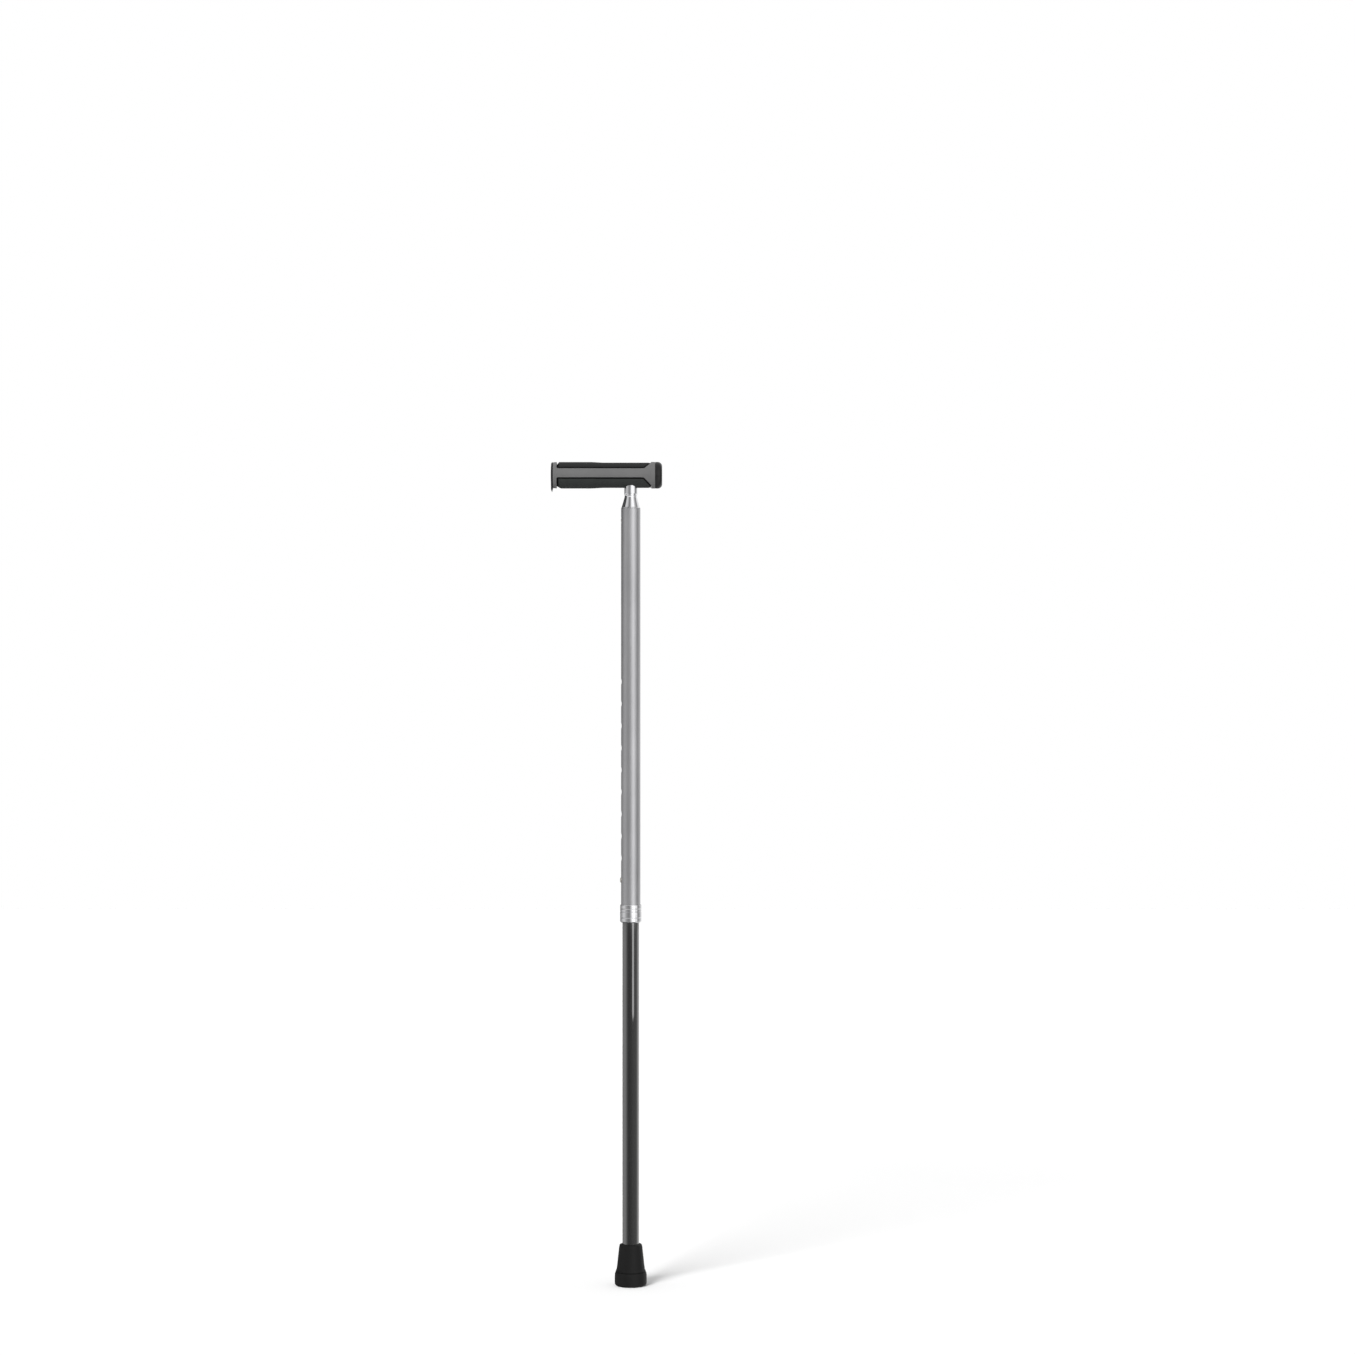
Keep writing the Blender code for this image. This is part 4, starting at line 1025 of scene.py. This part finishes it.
def core():
    """The grey bar: one skin with pockets sunk under the inlays, open at both ends.

    Columns follow the pockets' edges, so each wall is a row of quads between two
    columns or two stations at the same place and unlike depths.
    """
    lip = POCKET_FILLET * np.array([0.0, 0.3, 1.0])
    arc = 1 - np.cos(np.linspace(0, np.pi / 2, 9))
    x = core_stations(lip, arc)
    edge_fall = np.interp(x - NOSE_X, CORE_EDGE_RUN, NOSE_EDGE_FALL)
    edge_fall += np.interp(REAR_X - x, CORE_EDGE_RUN, REAR_EDGE_FALL)
    half = bar_half(x) - edge_fall
    halves = []
    for side in (1, -1):
        stop = INLAY_STOP[side]
        depth = lip_fall(np.maximum(FLANGE_X - x, x - stop))
        sunk = slice(np.searchsorted(x, FLANGE_X) + 1, np.searchsorted(x, stop) + 1)
        depth[sunk] = INLAY_THICKNESS + GAP
        edge = psi_of(edge_arc(np.maximum(x, FLANGE_X), side, 0.0, FLANGE_X), half)[:, None]
        inside = np.linspace(0, 1, POCKET_LINES) * edge
        falls = np.minimum(depth, POCKET_FILLET)[:, None] * lip_fall(lip) / POCKET_FILLET
        falls = np.concatenate([np.repeat(depth[:, None], POCKET_LINES, axis=1), falls], axis=1)
        halves.append((np.concatenate([inside, edge + lip / half[:, None]], axis=1), falls))
    (top_psi, top_fall), (low_psi, low_fall) = halves
    t = np.linspace(0, 1, 14)[1:-1]
    start, stop = top_psi[:, -1:], np.pi - low_psi[:, -1:]
    middle = start + (stop - start) * t
    psi = np.concatenate([top_psi, middle, np.pi - low_psi[:, ::-1]], axis=1)
    fall = np.concatenate([top_fall, 0 * middle, low_fall[:, ::-1]], axis=1)
    skin = mirrored(bar_point(x[:, None], half[:, None] - fall, psi))
    sheets = [grid(skin, around=True)]
    # Each end face runs in to the bore, and the bore to its blind end.
    for row, end, blind in ((0, NOSE_X, NOSE_BORE_END), (-1, REAR_X, REAR_BORE_END)):
        share = np.array([half[row], CORE_BORE + BROKEN, CORE_BORE, CORE_BORE, 0.0])
        deep = np.array([end, end, end - math.copysign(BROKEN, end), blind, blind])
        ring = mirrored(bar_point(deep[:, None], share[:, None], psi[row][None]))
        sheets.append(grid(ring, around=True))
    make("handle_bar", sheets, [GREY_ABS], "head", "handle_core")


def dots(x, s):
    """Low domes on a staggered pitch: h = h0 sqrt(1 - (d / r)^2) within each."""
    row = DOT_PITCH * math.sqrt(3)

    def off(value, period):
        """Distance to the nearest multiple of the period."""
        return np.abs((value + period / 2) % period - period / 2)

    first = np.hypot(off(x, DOT_PITCH), off(s, row))
    second = np.hypot(off(x + DOT_PITCH / 2, DOT_PITCH), off(s + row / 2, row))
    near = np.minimum(first, second) / DOT_RADIUS
    return DOT_RISE * np.sqrt(np.clip(1 - near**2, 0, 1))


def rounded_corner(first, second, corner):
    """Distance to two edges that meet in a round corner: c - hypot(c - d1, c - d2) in it."""
    bent = corner - np.hypot(np.clip(corner - first, 0, None), np.clip(corner - second, 0, None))
    return np.where((first < corner) & (second < corner), bent, np.minimum(first, second))


def border_distance(x, s, side, inset, nose):
    """Distance on the unrolled surface to an inlay's edge, round at its corners."""
    along = x - nose
    half = bar_half(x)
    level = np.clip((BAND[side] + inset) / half, -1, 1)
    across = half * np.interp(np.arccos(level), PSI, ARC) - np.abs(s)
    psi = psi_of(np.abs(s), half)
    slant = END_SLANT[side]
    end, stop = slant_line(side, inset)
    behind = end + (half * np.cos(psi) - BAND[side] - inset) * slant - x
    steep = np.sin(psi) / np.sqrt(np.sin(psi) ** 2 + (WIDTH_RATIO * np.cos(psi)) ** 2)
    behind = behind / np.hypot(1, slant * steep)
    return np.minimum(
        rounded_corner(along, across, INLAY_CORNER),
        rounded_corner(stop - x, behind, END_CORNER),
    )


def border_height(distance):
    """The inlay's relief: a rounded edge, a low smooth border, and a step up to the grip."""
    edge = np.clip(1 - distance / EDGE_RUN, 0, 1)
    rounding = -EDGE_FALL * (1 - np.sqrt(1 - edge**2))
    return rounding - BORDER_FALL * (1 - smooth((distance - BORDER_WIDTH) / BORDER_RISE_RUN))


def inlay(name, node, side, finish, dotted, stations, lines):
    """A soft inlay: a skin over the bar's oval and an underside, closed round its edge.

    Its lines lie at s = edge q (1 + c (1 - q)) from the crest, so they crowd at the edge.
    """
    nose = FLANGE_X + GAP
    stop = INLAY_STOP[side] - GAP
    arc = 1 - np.cos(np.linspace(0, np.pi / 2, 12))
    body = np.arange(nose + INLAY_CORNER + stations, stop - END_CORNER, stations)
    x = np.concatenate([nose + INLAY_CORNER * arc, body, (stop - END_CORNER * arc)[::-1]])
    half = bar_half(x)
    edge = edge_arc(x, side, GAP, nose)
    q = np.linspace(0, 1, lines)
    s = edge[:, None] * q * (1 + LINE_CROWDING * (1 - q))
    distance = border_distance(x[:, None] + 0 * s, s, side, GAP, nose)
    relief = border_height(distance)
    t = np.clip(1 - (x - nose) / NOSE_RUN[side], 0, 1)[:, None]
    chamfer = NOSE_DROP[side] * t**NOSE_CURVE
    if dotted:
        field = np.clip((distance - DOTS_START) / DOTS_FADE, 0, 1)
        relief = relief + field * dots(x[:, None] + 0 * s, s)
    outer = half[:, None] + relief - chamfer
    psi = psi_of(s, half[:, None])
    under = np.minimum(half[:, None] - INLAY_THICKNESS, outer - LEAST_THICKNESS)
    front = bar_point(x[:, None], outer, psi, side)
    below = bar_point(x[:, None], under + 0 * psi, psi, side)
    loop = np.concatenate([mirrored_arc(front), mirrored_arc(below)[:, ::-1]], axis=1)
    # The border band is sunk a little in the relief. Its near-black rubber, also on the underside and
    # end rows, adds painted shade for the groove's shadow.
    looks = np.where(distance[:-1, :-1] > PAINTED_SHADE_BORDER_WIDTH, 0, 1)
    looks = np.concatenate([looks[:, ::-1], looks], axis=1)
    under_looks = np.ones((looks.shape[0], looks.shape[1] + 2), int)
    looks = np.concatenate([looks, under_looks], axis=1)
    middle = (loop + loop[:, ::-1]) / 2
    loop = np.concatenate([middle[:1], loop, middle[-1:]])
    looks = np.concatenate([looks[:1] * 0 + 1, looks, looks[:1] * 0 + 1])
    sheets = [grid(loop, around=True, look=looks)]
    make(name, sheets, [finish, PAINTED_SHADE_BORDER_RUBBER], "head", node)


def mirrored_arc(front):
    """A full arc from the far edge over the crest to the near edge."""
    back = front[:, :0:-1] * np.array([1.0, -1.0, 1.0])
    return np.concatenate([back, front], axis=1)


def oval(turn, half_width, half_height):
    """An oval in polar form: r = 1 / hypot(cos / half width, sin / half height)."""
    return 1 / np.hypot(np.cos(turn) / half_width, np.sin(turn) / half_height)


def nose_cap():
    """The thin nose cap: a low dome on an oval, drawn down into a wedge-shaped lip.

    In the plane of the cap the rim is r = base + softplus(lip - base), both ovals in
    polar form. Below the base oval both faces run straight, then close to an edge.
    """
    back = NOSE_X - GAP
    radius = NOSE_HALF - FLANGE_STEP
    foot = radius + LIP_DROP
    turn = np.linspace(0, 2 * np.pi, CAP_TURN_STEPS + 1)[:-1]
    base = oval(turn, WIDTH_RATIO * radius, radius)
    lip = oval(turn, LIP_WIDTH_RATIO * foot, foot)
    ahead = np.where(np.sin(turn) < 0, lip - base, NO_LIP)
    grown = base + LIP_BLEND * np.logaddexp(0, ahead / LIP_BLEND)
    grown = np.where(grown - base < LIP_LEAST, base, grown)
    bend = np.cos(np.linspace(0, np.pi / 2, 13)[1:])
    share = np.concatenate([np.linspace(0, RIM_START, 20), 1 - (1 - RIM_START) * bend])[:, None]
    reach = share * grown
    close = np.clip((reach - base - LIP_STRAIGHT) / (LIP_DROP - LIP_STRAIGHT), 0, 1)
    tongue = np.clip((grown - base) / LIP_FULL, 0, 1)
    dome = CAP_RISE - (DOME_FALL - LIP_DOME_EASE * tongue) * np.clip(reach / base, 0, 1) ** 3
    rim = 1 - np.sqrt(1 - np.clip((share - RIM_START) / (1 - RIM_START), 0, 1) ** 2)
    front = dome - close * (CAP_RISE - LIP_FRONT) - rim * (RIM_FALL - LIP_RIM_EASE * tongue)
    plug = CORE_BORE - GAP
    plug_edge = oval(turn, WIDTH_RATIO * plug, plug)
    back_reach = base + (grown - base) * np.linspace(1, 0, 7)[:, None]
    back_close = np.clip((back_reach - base - LIP_STRAIGHT) / (LIP_DROP - LIP_STRAIGHT), 0, 1)
    step = base - SEAL_INSET
    steps = [(step, 0.0), (step, -SEAL_RISE), (plug_edge, -SEAL_RISE)]
    steps += [(plug_edge, PLUG_EDGE - PLUG_LENGTH), (PLUG_END_RATIO * plug_edge, -PLUG_LENGTH)]
    steps += [(0 * plug_edge, -PLUG_LENGTH)]
    out = np.concatenate([reach, back_reach, [r for r, _ in steps]])
    depth = np.concatenate([front, LIP_BACK * back_close, [d + 0 * base for _, d in steps]])
    places = [back - depth, out * np.cos(turn), HANDLE_Z + out * np.sin(turn)]
    sheets = [grid(np.stack(places, axis=-1), around=True)]
    make("nose_cap", sheets, [BLACK_ABS], "head", "front_cap")


def end_cap():
    """The rounded rear cap: a turned shape drawn in across to the bar's oval."""
    front = REAR_X + GAP
    rear = front + REAR_CAP_LENGTH
    radius = REAR_HALF + REAR_FLARE
    plug = CORE_BORE - GAP
    seat = front - SEAL_RISE
    corners = [
        (0.0, rear, 0.0),
        (radius, rear, REAR_CAP_ROUNDING),
        (radius, front + REAR_CAP_LAND, 0.0),
        (radius, front, CRISP),
        (radius - SEAL_INSET, front, 0.0),
        (radius - SEAL_INSET, seat, 0.0),
        (plug, seat, 0.0),
        (plug, front - PLUG_LENGTH, SOFT),
        (0.0, front - PLUG_LENGTH, 0.0),
    ]
    places, quads, looks = turned(outline(corners, steps=12))
    laid = [places[:, 2], WIDTH_RATIO * places[:, 1], HANDLE_Z + places[:, 0]]
    sheets = [(np.stack(laid, axis=-1), quads, looks)]
    make("end_cap", sheets, [BLACK_ABS], "head", "rear_cap")


def panels(tree, turn, stops):
    """Grey levels round the room: each stop is (degrees from the front, level)."""
    ramp = add(tree, "ShaderNodeValToRGB", {}, {"Fac": turn})
    elements = ramp.color_ramp.elements
    elements[0].position = 0.0
    elements[0].color = (stops[0][1],) * 3 + (1.0,)
    elements[1].color = (stops[-1][1],) * 3 + (1.0,)
    for angle, level in stops[1:-1]:
        elements.new((angle + 180) / 360).color = (level, level, level, 1.0)
    return ramp.outputs["Color"]


def rising(tree, height, start, end):
    """0 below start and 1 above end, smooth between; end may be below start."""
    settings = {
        "interpolation_type": "SMOOTHSTEP",
        "From Min": min(start, end),
        "From Max": max(start, end),
        "To Min": float(end < start),
        "To Max": float(end > start),
    }
    return add(tree, "ShaderNodeMapRange", settings, {"Value": height}).outputs["Result"]


def blended(tree, share, first, second):
    """Mix two colours by a share."""
    mix = add(tree, "ShaderNodeMix", {"data_type": "RGBA"}, {"Factor": share})
    for socket, source in ((6, first), (7, second)):
        if isinstance(source, float):
            mix.inputs[socket].default_value = (source, source, source, 1.0)
        else:
            tree.links.new(source, mix.inputs[socket])
    return mix.outputs[2]


def room():
    """A white room. Metals see tall panels round it, which change above and below eye level."""
    world = bpy.data.worlds.new("room")
    bpy.context.scene.world = world
    world.use_nodes = True
    tree = world.node_tree
    tree.nodes.clear()
    towards = add(tree, "ShaderNodeTexCoord", {}).outputs["Generated"]
    parts = add(tree, "ShaderNodeSeparateXYZ", {}, {0: towards}).outputs
    ahead = add(tree, "ShaderNodeMath", {"operation": "MULTIPLY", 1: -1.0}, {0: parts["Y"]})
    links = {0: parts["X"], 1: ahead.outputs[0]}
    around = add(tree, "ShaderNodeMath", {"operation": "ARCTAN2"}, links)
    settings = {"From Min": -math.pi, "From Max": math.pi}
    turn = add(tree, "ShaderNodeMapRange", settings, {"Value": around.outputs[0]}).outputs["Result"]
    level = panels(tree, turn, LEVEL_PANELS)
    upper = panels(tree, turn, UPPER_PANELS)
    lower = panels(tree, turn, LOWER_PANELS)
    below = panels(tree, turn, BELOW_PANELS)
    veil = panels(tree, turn, VEIL_PANELS)
    veiled = blended(tree, rising(tree, parts["Z"], *VEIL_END), veil, upper)
    above = blended(tree, rising(tree, parts["Z"], *VEIL_START), upper, veiled)
    seen = blended(tree, rising(tree, parts["Z"], *UPPER_START), level, above)
    seen = blended(tree, rising(tree, parts["Z"], *LOWER_START), seen, lower)
    seen = blended(tree, rising(tree, parts["Z"], *BELOW_START), seen, below)
    seen = blended(tree, rising(tree, parts["Z"], *OVERHEAD_START), seen, OVERHEAD)
    mirror = add(tree, "ShaderNodeBackground", {"Strength": 1.0}, {"Color": seen})
    soft = add(tree, "ShaderNodeBackground", {"Color": (1.0, 1.0, 1.0, 1.0), "Strength": AMBIENT})
    white = add(tree, "ShaderNodeBackground", {"Color": (1.0, 1.0, 1.0, 1.0), "Strength": 1.0})
    ray = add(tree, "ShaderNodeLightPath", {}).outputs
    links = {0: ray["Is Glossy Ray"], 1: soft.outputs[0], 2: mirror.outputs[0]}
    inside = add(tree, "ShaderNodeMixShader", {}, links)
    links = {0: ray["Is Camera Ray"], 1: inside.outputs[0], 2: white.outputs[0]}
    whole = add(tree, "ShaderNodeMixShader", {}, links)
    add(tree, "ShaderNodeOutputWorld", {}, {"Surface": whole.outputs[0]})


def light(name, kind, place, turn, **settings):
    """Add a lamp that the camera doesn't see."""
    data = bpy.data.lights.new(name, kind)
    for key, value in settings.items():
        setattr(data, key, value)
    lamp = bpy.data.objects.new(name, data)
    lamp.location = place
    lamp.rotation_euler = turn
    lamp.visible_camera = False
    bpy.context.scene.collection.objects.link(lamp)
    return lamp


def strip(name, low, high, radiance):
    """A tall soft box in front on the right, which only shines are seen from."""
    side = math.radians(STRIP_SIDE)
    place = (STRIP_AWAY * math.sin(side), -STRIP_AWAY * math.cos(side), (low + high) / 2)
    power = radiance * math.pi * STRIP_WIDTH * (high - low)
    size = {"shape": "RECTANGLE", "size": STRIP_WIDTH, "size_y": high - low, "energy": power}
    box = light(name, "AREA", place, (math.radians(90), 0.0, side), **size)
    box.visible_diffuse = False


def studio():
    """Plain soft light on a pale floor: a broad key from the front left, and soft boxes."""
    bpy.context.scene.view_settings.view_transform = "Standard"
    room()
    turn = (math.radians(90 - KEY_RISE), 0.0, math.radians(KEY_SIDE))
    key = light("key", "SUN", (0.0, 0.0, 3.0), turn, energy=KEY_POWER, angle=math.radians(KEY_SPREAD))
    key.visible_glossy = False
    strip("tall_soft_box", STRIP_STEP, STRIP_TOP, TALL_STRIP)
    strip("low_soft_box", STRIP_FOOT, STRIP_STEP, LOW_STRIP)
    ground = bpy.data.meshes.new("floor")
    corners = [(-FLOOR_HALF, -FLOOR_HALF, 0), (FLOOR_HALF, -FLOOR_HALF, 0)]
    corners += [(FLOOR_HALF, FLOOR_HALF, 0), (-FLOOR_HALF, FLOOR_HALF, 0)]
    ground.from_pydata(corners, [], [(0, 1, 2, 3)])
    finish = finish_of("matt_white_floor", FLOOR_COLOUR, roughness=0.9, specular_ior_level=0.0)
    ground.materials.append(finish[0])
    floor = bpy.data.objects.new("floor", ground)
    bpy.context.scene.collection.objects.link(floor)
    floor.visible_glossy = False


def camera():
    """An 85 mm lens, level, 3.69 m in front of the shaft and a little to its right."""
    lens = bpy.data.cameras.new("camera")
    lens.lens = LENS_MM
    lens.sensor_width = SENSOR_MM
    eye = bpy.data.objects.new("camera", lens)
    eye.location = EYE
    eye.rotation_euler = (math.radians(90), 0.0, 0.0)
    bpy.context.scene.collection.objects.link(eye)
    bpy.context.scene.camera = eye


camera()
studio()
tip()
tip_disc()
leg_tube()
bush()
shaft_tube()
squeeze_ring()
collar()
button("height_pin", "height_button", "height_button", HEIGHT_BUTTON_Z, LOWER_BORE)
button("head_pin", "head_button", "head_button", HEAD_BUTTON_Z, SPIGOT_BORE)
leaf_spring("height_leaf", "height_button_spring", "lower_leg", HEIGHT_BUTTON_Z, LOWER_BORE)
leaf_spring("head_leaf", "head_button_spring", "head", HEAD_BUTTON_Z, SPIGOT_BORE)
neck_bell()
neck_screw()
neck_screw_washer()
neck_pin()
core()
inlay("palm_inlay", "grip_top_inlay", 1, GRIP_TOP, False, 0.0006, 44)
inlay("finger_inlay", "grip_bottom_inlay", -1, GRIP_DOTTED, True, 0.00036, 56)
nose_cap()
end_cap()
